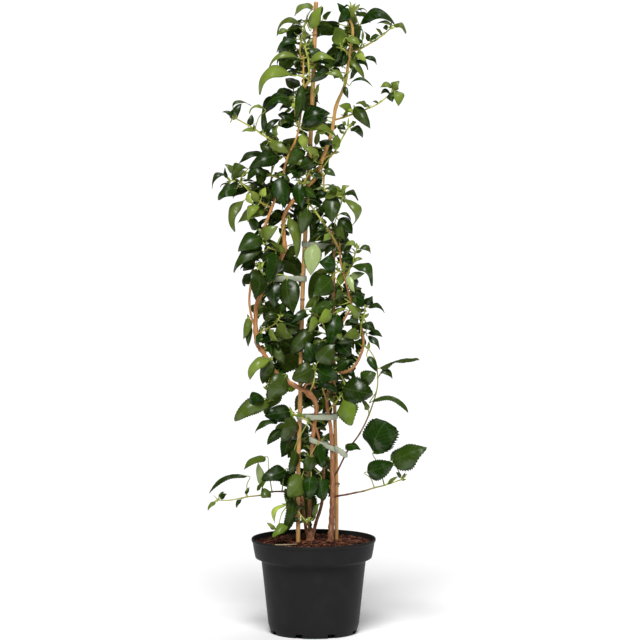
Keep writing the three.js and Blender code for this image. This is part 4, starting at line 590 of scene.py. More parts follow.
    "from": "stem_left", "radius": 1.0,
    "path": [[-4, -2, 121], [-8, -15, 133], [-20, -18, 148], [-31, -18, 155]],
    "leaves": [
      [-33, -18, 156, -47, -24, 132, 9, 11, 5, "y"], [-24, -18, 164, -33, -29, 121, 18, 3, 70, "t"],
      [-33, -24, 132, -50, -37, 116, 13, 3, 45, "u"], [-46, -26, 126, -56, -29, 134, 6, 1, 50, "y"],
      [0, -15, 141, 7, -22, 158, 9, 1, 60, "m"],
    ],
  },
  "runner_right": {
    "from": "stem_right", "radius": 1.2,
    "path": [[22.5, -4, 164], [29, -8, 166], [41, -12, 168], [50, -14, 170], [60, -15, 172],
      [73, -16, 176], [85, -17, 179],
      [106, -18, 186]],
    "leaves": [
      [72, -15, 219, 86, -24, 257, 43, 3, 30, "r"], [94, -17, 209, 135, -28, 227, 32, 3, 62, "t"],
      [64, -17, 195, 96, -27, 205, 25, 3, 62, "t"], [106, -18, 188, 99, -25, 195, 7, 1, 50, "d"],
      [89, -17, 181, 101, -23, 190, 7, 1, 50, "m"], [108, -18, 187, 112, -22, 193, 5, 1, 50, "y"],
    ],
  },
}

# Shoots at the back: the stem that each grows from, its foot, its heading in degrees, its length and kind
BACK_SHOOTS = [
  ["stem_left", [46, -4, 722], 100, 26, "d"],
  ["stem_left", [-12, -13, 684], 115, 34, "d"],
  ["stem_left", [43, -4, 690], 85, 30, "d"],
  ["stem_left", [-13, -15, 640], 105, 38, "d"],
  ["stem_left", [-29, -12, 580], 115, 36, "d"],
  ["stem_left", [6, -14, 564], 75, 38, "d"],
  ["stem_left", [-45, -12, 526], 115, 36, "d"],
  ["stem_right", [31, -6, 466], 90, 32, "d"],
  ["stem_left", [-46, -5, 440], 95, 34, "d"],
  ["stem_right", [42, -7, 402], 84, 32, "d"],
  ["stem_left", [-69.5, -9, 388], 80, 34, "d"],
  ["stem_left", [-62, -12, 342], 50, 36, "t"],
  ["stem_right", [16, -3, 286], 85, 32, "t"],
  ["stem_left", [-5, -3, 222], 105, 32, "t"],
  ["stem_left", [-14, 1, 163], 120, 28, "t"],
  ["stem_right", [22.5, -4, 176], 120, 28, "t"],
]

# Knots of the woody stems: place as seen, and how far the wood swells there
KNOTS = [
    ([-5, -15, 291], 0.55), ([-35, -7, 466], 0.6), ([-69, -10, 366], 0.4), ([22, -3, 309], 0.45),
    ([26.8, -6, 636], 0.3), ([-4, 0, 118], 0.3),
]

# Free ends of ties: path as seen, and the strip's height along it
TIE_TAILS = {
    "tie_low_slanted": {
        "path": [[26, -9.5, 225], [31, -11.5, 221], [36, -12.5, 217.5], [41, -12.5, 215]],
        "width": [6, 8.5, 10, 5],
    },
}

# Pale roots that lie on the soil
SURFACE_ROOTS = [
    [[-46, -34, 111.6], [-38, -38, 112.2], [-28, -36, 112.4], [-20, -31, 111.8]],
    [[-44, -42, 110.6], [-36, -46, 111.4], [-28, -44, 111.4]],
]


# Plain geometry


def seen(points):
    """A point given by its height as seen in the plane y = 0 stands lower the further back it is."""
    out = np.array(points, float)
    out[..., 2] -= out[..., 1] * (EYE_HEIGHT - out[..., 2]) / EYE_DISTANCE
    return out


def unit(v):
    """Vectors divided by their lengths."""
    return v / np.maximum(np.linalg.norm(v, axis=-1, keepdims=True), 1e-12)


def blend(values, t):
    """Value of an evenly spaced list at t from 0 to 1, straight between its entries."""
    return np.interp(t, np.linspace(0, 1, len(values)), values)


def stations(points, step):
    """Points along a line of points, no further apart than step."""
    out = [points[:1]]
    for a, b in zip(points[:-1], points[1:]):
        n = max(1, math.ceil(np.linalg.norm(b - a) / step))
        out.append(a + (b - a) * (np.arange(1, n + 1) / n)[:, None])
    return np.concatenate(out)


def smooth_line(points, step):
    """A Catmull-Rom curve through points, with stations about a step apart.

    Between p1 and p2 it is the cubic with the tangents (p2 - p0) / 2 and (p3 - p1) / 2.
    """
    p = np.concatenate([[2 * points[0] - points[1]], points, [2 * points[-1] - points[-2]]])
    out = [points[:1]]
    for i in range(1, len(p) - 2):
        n = max(2, math.ceil(np.linalg.norm(p[i + 1] - p[i]) / step))
        t = (np.arange(1, n + 1) / n)[:, None]
        m0, m1 = (p[i + 1] - p[i - 1]) / 2, (p[i + 2] - p[i]) / 2
        h = 2 * t**3 - 3 * t**2
        out.append(p[i] * (1 + h) - p[i + 1] * h + m0 * (t**3 - 2 * t**2 + t) + m1 * (t**3 - t**2))
    return np.concatenate(out)


def share_along(line):
    """How far each station is along its line: the running sum of the steps, and that sum as a share."""
    run = np.concatenate([[0], np.cumsum(np.linalg.norm(np.diff(line, axis=0), axis=1))])
    return run, run / run[-1]


def section_frames(line):
    """Two unit vectors across a line: the axis that it follows least, made square to it, and their cross."""
    way = unit(np.gradient(line, axis=0))
    axis = np.eye(3)[np.argmin(np.max(np.abs(way), axis=0))]
    first = unit(axis - way * (way @ axis)[:, None])
    return first, np.cross(way, first)


class Skin:
    """Points, faces and per-point values that are gathered into one mesh."""

    def __init__(self):
        self.points, self.faces, self.slots = [], [], []
        self.values = {}
        self.count = 0

    def add(self, points, faces, slot=0, **values):
        """Adds a part: points (n, 3), a list of face index arrays, and values of one row for each point."""
        self.points.append(points)
        for part in faces:
            self.faces.append(np.asarray(part) + self.count)
            self.slots.append(np.full(len(part), slot))
        for name, value in values.items():
            value = np.asarray(value, float)
            width = value.shape[-1] if value.ndim else 1
            self.values.setdefault(name, []).append(np.broadcast_to(value, (len(points), width)))
        self.count += len(points)

    def build(self, name, materials):
        """One mesh object in metres at the origin, with a slot for each material and smooth shading."""
        mesh = bpy.data.meshes.new(name)
        points = np.concatenate(self.points) * MM
        sizes = np.concatenate([np.full(len(f), f.shape[1]) for f in self.faces])
        corners = np.concatenate([f.ravel() for f in self.faces])
        mesh.vertices.add(len(points))
        mesh.vertices.foreach_set("co", points.ravel())
        mesh.loops.add(len(corners))
        mesh.loops.foreach_set("vertex_index", corners)
        mesh.polygons.add(len(sizes))
        mesh.polygons.foreach_set("loop_start", np.concatenate([[0], np.cumsum(sizes)[:-1]]))
        mesh.polygons.foreach_set("loop_total", sizes)
        mesh.polygons.foreach_set("material_index", np.concatenate(self.slots))
        mesh.polygons.foreach_set("use_smooth", np.ones(len(sizes), bool))
        for key, parts in self.values.items():
            data = np.concatenate(parts)
            if data.shape[1] == 3:
                mesh.attributes.new(key, "FLOAT_VECTOR", "POINT").data.foreach_set("vector", data.ravel())
            else:
                mesh.attributes.new(key, "FLOAT", "POINT").data.foreach_set("value", data.ravel())
        mesh.update(calc_edges=True)
        mesh.validate()
        for material in materials:
            mesh.materials.append(material)
        piece = bpy.data.objects.new(name, mesh)
        bpy.context.scene.collection.objects.link(piece)
        return piece


def grid_faces(rows, columns, closed=False):
    """Quads between neighbouring rows of a grid of points, wrapped round where it is closed."""
    i, j = np.meshgrid(np.arange(rows - 1), np.arange(columns if closed else columns - 1), indexing="ij")
    k = (j + 1) % columns
    corners = [i * columns + j, i * columns + k, (i + 1) * columns + k, (i + 1) * columns + j]
    return np.stack(corners, -1).reshape(-1, 4)


def loop_faces(rows, columns, closed=False):
    """Quads of a grid whose last row joins its first, wrapped round where its rows are closed too."""
    i = np.arange(rows)[:, None]
    j = np.arange(columns if closed else columns - 1)[None]
    below, beside = (i + 1) % rows, (j + 1) % columns
    corners = [i * columns + j, below * columns + j, below * columns + beside, i * columns + beside]
    return np.stack(np.broadcast_arrays(*corners), -1).reshape(-1, 4)


def fan(ring, centre, flip=False):
    """Triangles from a closed ring of points to one point."""
    after = np.roll(ring, -1)
    tris = np.stack([ring, after, np.full(len(ring), centre)], -1)
    return tris[:, ::-1] if flip else tris


def capped_faces(rows, sides):
    """Faces of closed rings with a fan at either end, to the two points that follow the rings."""
    end = rows * sides
    return [
        grid_faces(rows, sides, closed=True),
        fan(np.arange(sides), end, flip=True),
        fan(np.arange(end - sides, end), end + 1),
    ]


def tube(line, radius, sides):
    """A closed tube: at each station a circle of the radius there, radius * (cos a * u + sin a * w).

    Radius holds one value for each station, or one for each point. Returns points, faces, angle and run.
    """
    u, w = section_frames(line)
    angle = np.linspace(0, 2 * np.pi, sides, endpoint=False)
    radius = np.asarray(radius, float)
    if radius.ndim == 1:
        radius = np.repeat(radius[:, None], sides, axis=1)
    spokes = np.cos(angle)[None, :, None] * u[:, None] + np.sin(angle)[None, :, None] * w[:, None]
    body = (line[:, None] + radius[..., None] * spokes).reshape(-1, 3)
    n = len(line)
    points = np.concatenate([body, line[:1], line[-1:]])
    run, _ = share_along(line)
    angles = np.concatenate([np.tile(angle, n), [0, 0]])
    runs = np.concatenate([np.repeat(run, sides), run[[0, -1]]])
    return points, capped_faces(n, sides), angles, runs


def smooth_noise(points, scale, seed):
    """A smooth noise from -1 to 1: the mean of five sine waves of about one length in drawn directions."""
    rng = np.random.default_rng(seed)
    ways = unit(rng.normal(size=(5, 3))) * rng.uniform(0.7, 1.6, (5, 1)) * 2 * np.pi / scale
    return np.sin(points @ ways.T + rng.uniform(0, 6.3, 5)).mean(axis=-1) * 1.6


def srgb(red, green, blue):
    """A colour given in 0 to 255 display values, as linear values."""
    c = np.array([red, green, blue]) / 255
    return np.where(c <= 0.04045, c / 12.92, ((c + 0.055) / 1.055) ** 2.4)


TINTS = {
    "d": srgb(19, 42, 4), "m": srgb(98, 114, 42), "y": srgb(142, 158, 64), "p": srgb(146, 162, 104),
    "t": srgb(18, 40, 4), "u": srgb(80, 100, 30), "r": srgb(26, 50, 10),
}
SMOOTH_STALK, TOOTHED_STALK = srgb(164, 178, 82), srgb(136, 156, 72)
YOUNG_SHOOT, OLD_SHOOT, WOODY_SHOOT = srgb(184, 186, 88), srgb(160, 128, 66), srgb(92, 56, 40)
SURFACE_ROOT = srgb(188, 172, 140)
DARK_FIBRE, PALE_FIBRE = srgb(58, 26, 14), srgb(134, 78, 44)


# Where everything stands


class Draws:
    """Seeded draws: a linear congruential generator."""

    def __init__(self, state=7):
        self.state = state

    def draw(self, low, high):
        self.state = (self.state * 1664525 + 1013904223) % 4294967296
        return low + (high - low) * self.state / 4294967296


def wood_samples():
    """Balls along canes and stems: name, place, direction and radius."""
    out = []

    def note(name, line, radius_at):
        after = np.concatenate([line[1:], line[-1:]])
        before = np.concatenate([line[:1], line[:-1]])
        radius = radius_at(np.arange(len(line)) / (len(line) - 1))
        for p, way, r in zip(line, unit(after - before), radius):
            out.append((name, p, way, r))

    for name, cane in CANES.items():
        top = seen(cane["points"])
        line = np.concatenate([[[top[0, 0], top[0, 1], CANE_FOOT]], top])
        note(name, stations(line, WOOD_STEP), lambda t, r=cane["radius"]: np.full(len(t), r))
    for name, branches in STEMS.items():
        for branch in branches:
            line = stations(seen(branch["points"]), WOOD_STEP)
            note(name, line, lambda t, radii=branch["radii"]: blend(radii, t))
    return out


def hull(points):
    """The outer turn round points of a plane, counter-clockwise."""
    order = sorted(map(tuple, points))

    def half(run):
        chain = []
        for p in run:
            while len(chain) > 1:
                (ax, ay), (bx, by) = chain[-2], chain[-1]
                if (bx - ax) * (p[1] - ay) - (by - ay) * (p[0] - ax) > 0:
                    break
                chain.pop()
            chain.append(p)
        return chain[:-1]

    return np.array(half(order) + half(order[::-1]))


def tie_ring(wood, name, extra):
    """The turn of a tie round the stems that it holds, the given distance off them, on its slanted plane."""
    tie = TIES[name]
    low, high = tie["reach"]
    around = []
    for node, p, _, r in wood:
        off = abs(p[2] - tie["z"] - tie["slope"] * p[0])
        if node in tie["round"] and off < TIE_HEIGHT / 2 + TIE_MARGIN + r and low < p[0] < high:
            a = np.pi * np.arange(8) / 4
            around.append(p[:2] + (r + extra) * np.stack([np.cos(a), np.sin(a)], -1))
    ring = hull(np.concatenate(around))
    return np.column_stack([ring, tie["z"] + tie["slope"] * ring[:, 0]])


def half_width(s, kind):
    """Half width of a blade at s from base to tip, as a share of its greatest: s^p (1 - s)^q by its peak."""
    p, q = ROUND_FORM if kind == "r" else TOOTHED_FORM if kind in TOOTHED else SMOOTH_FORM
    peak = p / (p + q)
    return s**p * (1 - s) ** q / (peak**p * (1 - peak) ** q)


def leaf_frame(leaf):
    """Unit vectors off the upper face and across a blade. Roll turns the face to the nearer outside."""
    along = unit(leaf["tip"] - leaf["base"])
    outside = np.array([0, 1.0 if leaf["base"][1] > 0 else -1.0, 0])
    lean = np.array([leaf["base"][0] / LEAN_SIDE, outside[1] * LEAN_OUT, 1])
    up = unit(lean - along * (lean @ along))
    side = np.cross(along, up)
    if side @ outside < 0:
        side = -side
    a = math.radians(leaf["roll"])
    face = up * math.cos(a) + side * math.sin(a)
    return face, np.cross(face, along)


def midrib(leaf, s):
    """The midrib at s, its direction and across: a quadratic curve from base to tip over a raised knee."""
    face, across = leaf_frame(leaf)
    base, tip = leaf["base"], leaf["tip"]
    knee = base + (tip - base) * KNEE + face * 2 * leaf["arch"]
    s = np.asarray(s, float)[..., None]
    first = base + (knee - base) * s
    second = knee + (tip - knee) * s
    return first + (second - first) * s, unit(second - first), across


def blade_samples(leaf):
    """Sample points of a blade, no more than a step apart. Those past its first third are marked far."""
    length = np.linalg.norm(leaf["tip"] - leaf["base"])
    rows = math.ceil(length / BLADE_STEP)
    points, far = [], []
    for i in range(1, rows + 1):
        s = i / rows
        half = half_width(s, leaf["kind"]) * leaf["width"] / 2
        columns = math.ceil(half / BLADE_STEP)
        v = half * np.arange(-columns, columns + 1) / columns if columns else np.zeros(1)
        p, way, across = midrib(leaf, s)
        normal = np.cross(way, across)
        points.append(p + across * v[:, None] - normal * SAMPLE_DROOP * np.abs(v)[:, None])
        far.append(np.full(len(v), s > BLADE_FAR))
    return np.concatenate(points), np.concatenate(far)


def petiole_line(leaf, nodes):
    """From the shoot's nearest node to the blade's base, with its middle lifted where it is long."""
    root = nodes[np.argmin(np.linalg.norm(nodes - leaf["base"], axis=1))]
    length = np.linalg.norm(leaf["base"] - root)
    if length < LONG_STALK:
        return np.array([root, leaf["base"]])
    middle = (root + leaf["base"]) / 2 + [0, 0, STALK_RISE * length]
    return np.array([root, middle, leaf["base"]])


class Space:
    """All sample points that stand already, with their radius, their shoot and whether they are far."""

    def __init__(self):
        self.p, self.r = np.zeros((0, 3)), np.zeros(0)
        self.far, self.node = np.zeros(0, bool), np.zeros(0, object)

    def add(self, node, p, r, far):
        self.p = np.concatenate([self.p, p])
        self.r = np.concatenate([self.r, np.broadcast_to(r, len(p))])
        self.far = np.concatenate([self.far, np.broadcast_to(far, len(p))])
        self.node = np.concatenate([self.node, np.full(len(p), node, object)])

    def clear(self, points, far, node, gap):
        """Whether points keep their distance. In their own shoot only far points keep a smaller one."""
        middle = points.mean(axis=0)
        span = math.sqrt(((points - middle) ** 2).sum(-1).max())
        near = ((self.p - middle) ** 2).sum(-1) < (span + WIDEST_REACH) ** 2
        if not near.any():
            return True
        own, radius = self.node[near] == node, self.r[near]
        reach = np.maximum(np.maximum(radius + gap - WOOD_EASE, radius + WOOD_LEAST), gap - BALL_EASE)
        reach = np.where(radius > 0, reach, gap)
        apart = ((points[:, None] - self.p[near][None]) ** 2).sum(-1)
        if (apart[:, ~own] < reach[~own] ** 2).any():
            return False
        mine = own & self.far[near]
        return not (apart[np.ix_(far, mine)] < (gap * OWN_CLEAR) ** 2).any()


def stalked(leaf, nodes):
    """A blade that would start inside its shoot's stem starts a little further along instead."""
    apart = np.linalg.norm(nodes - leaf["base"], axis=1)
    short = SHORTEST_STALK - apart.min()
    if short <= 0:
        return leaf
    way = unit(leaf["tip"] - nodes[apart.argmin()])
    return {**leaf, "base": leaf["base"] + way * short}


def slid(leaf, distance):
    """The leaf slid along the line of sight, so that it looks the same from the front."""

    def move(p):
        return p + [0, distance, -distance * (EYE_HEIGHT - p[2]) / EYE_DISTANCE]

    return {**leaf, "base": move(leaf["base"]), "tip": move(leaf["tip"])}


def settle(space, name, leaf, nodes):
    """The first place along the line of sight where the leaf touches no other shoot."""
    for distance in SLIDES:
        placed = stalked(slid(leaf, distance), nodes)
        line = stations(petiole_line(placed, nodes), STALK_STEP)
        stalk = line[math.ceil(len(line) * STALK_NEAR):]
        points, far = blade_samples(placed)
        if not space.clear(points, far, name, BLADE_CLEAR):
            continue
        if not space.clear(stalk, np.ones(len(stalk), bool), name, PETIOLE_CLEAR):
            continue
        space.add(name, points, 0, far)
        space.add(name, stalk, 0, False)
        return placed
    return stalked(leaf, nodes)


def shoot_line(wood, path, carrier, radius):
    """The shoot's stem from a seat's width off the wood that carries it, and the middle of that wood."""
    line = seen(path)
    own = [w for w in wood if w[0] == carrier]
    near = own[np.argmin([np.linalg.norm(w[1] - line[0]) for w in own])]
    way = unit(line[1] - near[1])
    lean = abs(way @ near[2])
    sine = max(math.sqrt(1 - lean * lean), 0.5)
    line[0] = near[1] + way * (near[3] + SEAT + radius * lean) / sine
    return line, near[1]


def reach_at(z):
    """The left and right ends of the foliage at a height."""
    height, left, right = np.array(REACH, float).T
    return np.interp(z, height, left), np.interp(z, height, right)


def headed(start, a):
    """A level direction from a point, turned further back where the foliage is narrow to that side."""
    left, right = reach_at(start[2])
    room = min((right - start[0]) / BACK_SPAN, MOST_SIDEWAYS)
    if math.cos(a) <= 0:
        room = max((left - start[0]) / BACK_SPAN, -MOST_SIDEWAYS)
    x = abs(math.cos(a)) * room
    return np.array([x, math.sqrt(1 - x * x), 0])


def back_leaves(draws, nodes, heading, kind):
    """Leaves of a shoot at the back: a pair at each node and one at its end, inside the plant's width."""
    toothed = kind == "t"
    out = []
    for node, turn, rise in BACK_LEAVES:
        a = math.radians(heading + turn + draws.draw(-12, 12))
        e = math.radians(rise + draws.draw(-38, -5))
        flat = headed(nodes[node], a)
        fit = min(1, (BACK_DEPTH - nodes[node][1]) / (BACK_SPAN * flat[1]))
        length = fit * (draws.draw(36, 48) if toothed else draws.draw(32, 42))
        stalk = fit * draws.draw(6, 12)
        base = nodes[node] + flat * stalk + [0, 0, draws.draw(1, 6)]
        tip = base + flat * length * math.cos(e) + [0, 0, length * math.sin(e)]
        width = length * (draws.draw(0.62, 0.74) if toothed else draws.draw(0.5, 0.62))
        arch = length * draws.draw(0.1, 0.22)
        roll = draws.draw(5, 40)
        out.append({"base": base, "tip": tip, "width": width, "arch": arch, "roll": roll, "kind": kind})
    return out


def leaf_of(row):
    """A leaf from its row in the list of shoots."""
    base, tip = seen(row[:3]), seen(row[3:6])
    width, arch, roll, kind = row[6:]
    return {"base": base, "tip": tip, "width": width, "arch": arch, "roll": roll, "kind": kind}


def planned_shoots(wood):
    """Every shoot with its line and its leaves, settled one after another as the solids are."""
    space, draws, planned = Space(), Draws(), []
    for name in list(CANES) + list(STEMS):
        own = [w for w in wood if w[0] == name]
        space.add(name, np.array([w[1] for w in own]), np.array([w[3] for w in own]), False)
    for name in TIES:
        ring = tie_ring(wood, name, SEAT + TIE_SLACK + TIE_THICK / 2)
        space.add(name, stations(np.concatenate([ring, ring[:1]]), WOOD_STEP), TIE_HEIGHT / 2, False)

    def plan(name, carrier, path, radius):
        line, heart = shoot_line(wood, path, carrier, radius)
        planned.append({"name": "leaves_" + name, "radius": radius, "line": line, "heart": heart})
        return planned[-1]

    for name, shoot in SHOOTS.items():
        front = plan(name, shoot["from"], shoot["path"], shoot["radius"])
        front["leaves"] = [leaf_of(row) for row in shoot["leaves"]]
    for i, (carrier, foot, heading, length, kind) in enumerate(BACK_SHOOTS):
        a = math.radians(heading)
        way = np.array([math.cos(a), math.sin(a), 0])
        path = [foot, *(foot + length * (share * way + [0, 0, rise]) for share, rise in BACK_RISE)]
        back = plan(f"back_{i + 1}", carrier, path, BACK_RADIUS)
        back["leaves"] = back_leaves(draws, back["line"], heading, kind)
    for shoot in planned:
        space.add(shoot["name"], stations(shoot["line"][1:], WOOD_STEP), BACK_RADIUS, False)
    for shoot in planned:
        nodes = shoot["line"][1:]
        shoot["leaves"] = [settle(space, shoot["name"], leaf, nodes) for leaf in shoot["leaves"]]
    for shoot in planned:
        shoot["inner"] = inner_leaves(space, shoot)
    return planned, space


def small_leaf(rng, node, heading, lengths, kinds, share=1.0):
    """A drawn leaf that leaves a point in a direction of the plane, droops and arches."""
    way = np.array([math.cos(heading), math.sin(heading), 0])
    length, drop = rng.uniform(*lengths) * share, rng.uniform(*INNER_DROP)
    base = node + way * rng.uniform(*INNER_STALKS) + [0, 0, rng.uniform(*INNER_RISE)]
    tip = base + way * length * math.cos(drop) + [0, 0, length * math.sin(drop)]
    width, arch = length * rng.uniform(*INNER_WIDTHS), length * rng.uniform(*INNER_ARCHES)
    roll, kind = rng.uniform(*INNER_ROLLS), rng.choice(list(kinds))
    return {"base": base, "tip": tip, "width": width, "arch": arch, "roll": roll, "kind": kind}


def in_view(points):
    """Whether all points, as seen from the front, stay inside the foliage's reach and out of its gaps."""
    nearer = EYE_DISTANCE / (EYE_DISTANCE + points[:, 1])
    x = points[:, 0] * nearer
    z = EYE_HEIGHT + (points[:, 2] - EYE_HEIGHT) * nearer
    left, right = reach_at(z)
    if ((x < left) | (x > right)).any():
        return False
    return not any(((x > a) & (x < b) & (z > low) & (z < high)).any() for a, b, low, high in GAPS)


def fits(space, name, leaf, nodes):
    """Whether a drawn leaf stays inside the plant and clear of what stands; if so it is noted."""
    points, far = blade_samples(leaf)
    if (points < INNER_LOW).any() or (points > INNER_HIGH).any() or not in_view(points):
        return False
    line = stations(petiole_line(leaf, nodes), STALK_STEP)
    stalk = line[math.ceil(len(line) * INNER_STALK_NEAR):]
    if not space.clear(points, far, name, INNER_CLEAR):
        return False
    if not space.clear(stalk, np.ones(len(stalk), bool), name, INNER_CLEAR / 2):
        return False
    space.add(name, points, 0, far)
    space.add(name, stalk, 0, False)
    return True


def inner_leaves(space, shoot):
    """Small leaves between the large ones: opposite pairs along a shoot, each turned by a right angle."""
    rng = np.random.default_rng(sum(map(ord, shoot["name"])) + 1)
    toothed = shoot["leaves"][0]["kind"] in TOOTHED
    spots = stations(shoot["line"], INNER_STEP)[1:]
    out = []
    for i, spot in enumerate(spots):
        for side in (0, math.pi):
            for attempt, turn in enumerate(INNER_TURNS):
                heading = shoot["line"][0][0] / 9 + i * math.pi / 2 + side + turn
                if "back" not in shoot["name"] and math.sin(heading) < 0:
                    continue
                share = SHRINK ** attempt
                leaf = small_leaf(rng, spot, heading, INNER_LENGTHS, INNER_KINDS[toothed], share)
                if fits(space, shoot["name"], leaf, spots):
                    out.append(leaf)
                    break
    return out


def wood_leaves(space, wood, shoots):
    """Leaves that stand on the woody stems themselves, so that the middle of the plant fills up."""
    rng = np.random.default_rng(31)
    stems = [w[1][None] for w in wood if w[0] in STEMS]
    anchors = np.concatenate(stems + [stations(shoot["line"], WOOD_STEP) for shoot in shoots])
    planned = {"stem_left": [(leaf_of(row), anchors) for row in FILLERS]}
    spots = [w for w in wood if w[0] in STEMS and w[1][2] > LOWEST_SPROUT][::SPROUT_SKIP]
    for name, place, _, radius in spots:
        toothed = place[2] < TOOTHED_BELOW
        for attempt, turn in enumerate(SPROUT_TURNS):
            heading = rng.uniform(*SPROUT_SWAY) + turn
            spot = place + np.array([math.cos(heading), math.sin(heading), 0]) * (radius - 0.5)
            leaf = small_leaf(rng, spot, heading, SPROUT_LENGTHS, INNER_KINDS[toothed], SHRINK ** attempt)
            if fits(space, name + "_sprouts", leaf, spot[None]):
                planned.setdefault(name, []).append((leaf, spot[None]))
                break
    return planned


# Shader graphs


class Sock:
    """An output socket that takes part in Python arithmetic by adding Math nodes."""

    def __init__(self, graph, socket):
        self.graph, self.socket = graph, socket

    def maths(self, operation, *values):
        return self.graph.node("Math", {"operation": operation}, dict(enumerate(values)))

    def __add__(self, other):
        return self.maths("ADD", self, other)

    def __rsub__(self, other):
        return self.maths("SUBTRACT", other, self)

    def __mul__(self, other):
        return self.maths("MULTIPLY", self, other)

    __radd__ = __add__

    def absolute(self):
        return self.maths("ABSOLUTE", self)

    def to_whole(self):
        """Distance to the nearest whole number, 0 to 0.5."""
        return self.maths("PINGPONG", self, 0.5)

    def step(self, low, high):
        """0 below low, 1 above high, smooth between; reversed where high is the smaller."""
        inputs = {"Value": self, "From Min": min(low, high), "From Max": max(low, high)}
        if high < low:
            inputs.update({"To Min": 1.0, "To Max": 0.0})
        return self.graph.node("MapRange", {"interpolation_type": "SMOOTHSTEP"}, inputs)


class Graph:
    """A new material with its Principled shader, and one method that adds any node."""

    def __init__(self, name):
        self.material = bpy.data.materials.new(name)
        self.material.use_nodes = True
        self.tree = self.material.node_tree
        self.shader = self.tree.nodes["Principled BSDF"]

    def node(self, kind, settings=None, inputs=None, output=0):
        """Adds a node: its type, its settings first, then values or links of its inputs. Gives one output."""
        node = self.tree.nodes.new("ShaderNode" + kind)
        for key, value in (settings or {}).items():
            setattr(node, key, value)
        for key, value in (inputs or {}).items():
            self.put(self.find(node, key), value)
        return Sock(self, node.outputs[output])

    @staticmethod
    def find(node, key):
        """An input by its index, or by its identifier or name where several share one name."""
        if isinstance(key, int):
            return node.inputs[key]
        for socket in node.inputs:
            if socket.identifier == key:
                return socket
        return node.inputs[key]

    def put(self, socket, value):
        """A link where the value is a socket, else the socket's own value."""
        if isinstance(value, Sock):
            self.tree.links.new(value.socket, socket)
        elif np.ndim(value) and len(socket.default_value) == 4:
            socket.default_value = (*[float(v) for v in value[:3]], 1.0)
        elif np.ndim(value):
            socket.default_value = tuple(float(v) for v in value)
        else:
            socket.default_value = value

    def set(self, **inputs):
        """Values or links of the Principled shader, with spaces written as underscores."""
        for key, value in inputs.items():
            self.put(self.find(self.shader, key.replace("_", " ")), value)

    def mix(self, factor, first, second):
        inputs = {"Factor_Float": factor, "A_Color": first, "B_Color": second}
        return self.node("Mix", {"data_type": "RGBA"}, inputs, output=2)

    def attribute(self, name, output=2):
        """A value that the mesh carries: output 2 as a number, 1 as a vector, 0 as a colour."""
        return self.node("Attribute", {"attribute_name": name}, output=output)

    def parts(self, vector):
        """The three numbers of a vector."""
        split = self.node("SeparateXYZ", inputs={0: vector})
        return [Sock(self, split.socket.node.outputs[i]) for i in range(3)]

    def place(self, scale=(1, 1, 1)):
        """Object coordinates in millimetres, stretched by a scale."""
        at = self.node("TexCoord", output=3)
        return self.node("Mapping", inputs={"Vector": at, "Scale": [v / MM for v in scale]})

    def noise(self, where, scale, detail=3.0, roughness=0.5):
        """Noise from 0 to 1 with features 1 / scale long, in the units of where."""
        inputs = {"Vector": where, "Scale": scale, "Detail": detail, "Roughness": roughness}
        return self.node("TexNoise", inputs=inputs)

    def bump(self, height, distance, strength):
        """A bumped normal from a height from 0 to 1 that stands for a distance in millimetres."""
        inputs = {"Height": height, "Distance": distance * MM, "Strength": strength}
        return self.node("Bump", inputs=inputs)


def leaf_material(settings):
    """Leaf: the tint that a blade carries, pale midrib and side veins, glossy above, dull and paler below."""
    g = Graph("leaf")
    across, vein, top = g.parts(g.attribute("blade", 1))
    tint = g.attribute("tint", 0)
    at = g.place()
    wide, fine, waves = g.noise(at, 0.07, 2.0), g.noise(at, 1.4, 4.0), g.noise(at, 0.14, 1.0)
    rib = across.absolute().step(0.75, 0.15)
    side = vein.to_whole().step(0.11, 0.02) * 0.5
    veins = g.node("Math", {"operation": "MAXIMUM"}, {0: rib, 1: side})
    colour = g.mix(wide.step(0.4, 0.8) * 0.15, tint, srgb(86, 106, 40))
    colour = g.mix(fine.step(0.45, 0.8) * 0.18, colour, srgb(14, 30, 8))
    under = g.mix(0.45, colour, settings.underside_color)
    colour = g.mix(top, under, colour)
    colour = g.mix(veins * 0.22, colour, settings.vein_color)
    relief = veins * 0.5 + vein.to_whole() * 0.6 + fine * 0.15 + waves * 4.0
    g.set(Base_Color=colour, Roughness=(1 - top) * 0.28 + settings.gloss_roughness + fine * 0.12, IOR=1.08)
    g.set(Normal=g.bump(relief, 0.35, 0.5), Coat_Roughness=0.34)
    g.set(Coat_Weight=top * (0.02 + wide.step(0.42, 0.62)))
    return g.material


def stalk_material(settings):
    """Petioles and green shoots: the tint that each carries, with reddish patches and a fine grain."""
    g = Graph("green_stalk")
    tint = g.attribute("tint", 0)
    at = g.place((1, 1, 0.35))
    patch, grain = g.noise(at, 0.12, 2.0), g.noise(at, 2.2, 3.0)
    colour = g.mix(patch.step(0.5, 0.8) * 0.5, tint, settings.stalk_blush)
    g.set(Base_Color=colour, Roughness=0.42 + grain * 0.2, Normal=g.bump(grain, 0.12, 0.4), IOR=1.35)
    return g.material


def bark_material(settings):
    """Bark: tint by age, darker furrows, and pale peeling strips and flakes that run along the stem."""
    g = Graph("bark")
    tint = g.attribute("tint", 0)
    grain = g.attribute("grain", 1)
    strips = g.noise(grain, 1.0, 5.0, 0.6)
    flakes = g.noise(grain, 0.35, 3.0)
    colour = g.mix(strips.step(0.48, 0.7) * 0.55, tint, settings.peel_color)
    colour = g.mix(strips.step(0.46, 0.3) * 0.75, colour, settings.furrow_color)
    colour = g.mix(flakes.step(0.6, 0.8) * 0.3, colour, settings.peel_color)
    g.set(Base_Color=colour, Roughness=0.62 + strips * 0.25, Normal=g.bump(strips, 0.8, 0.75), IOR=1.3)
    return g.material


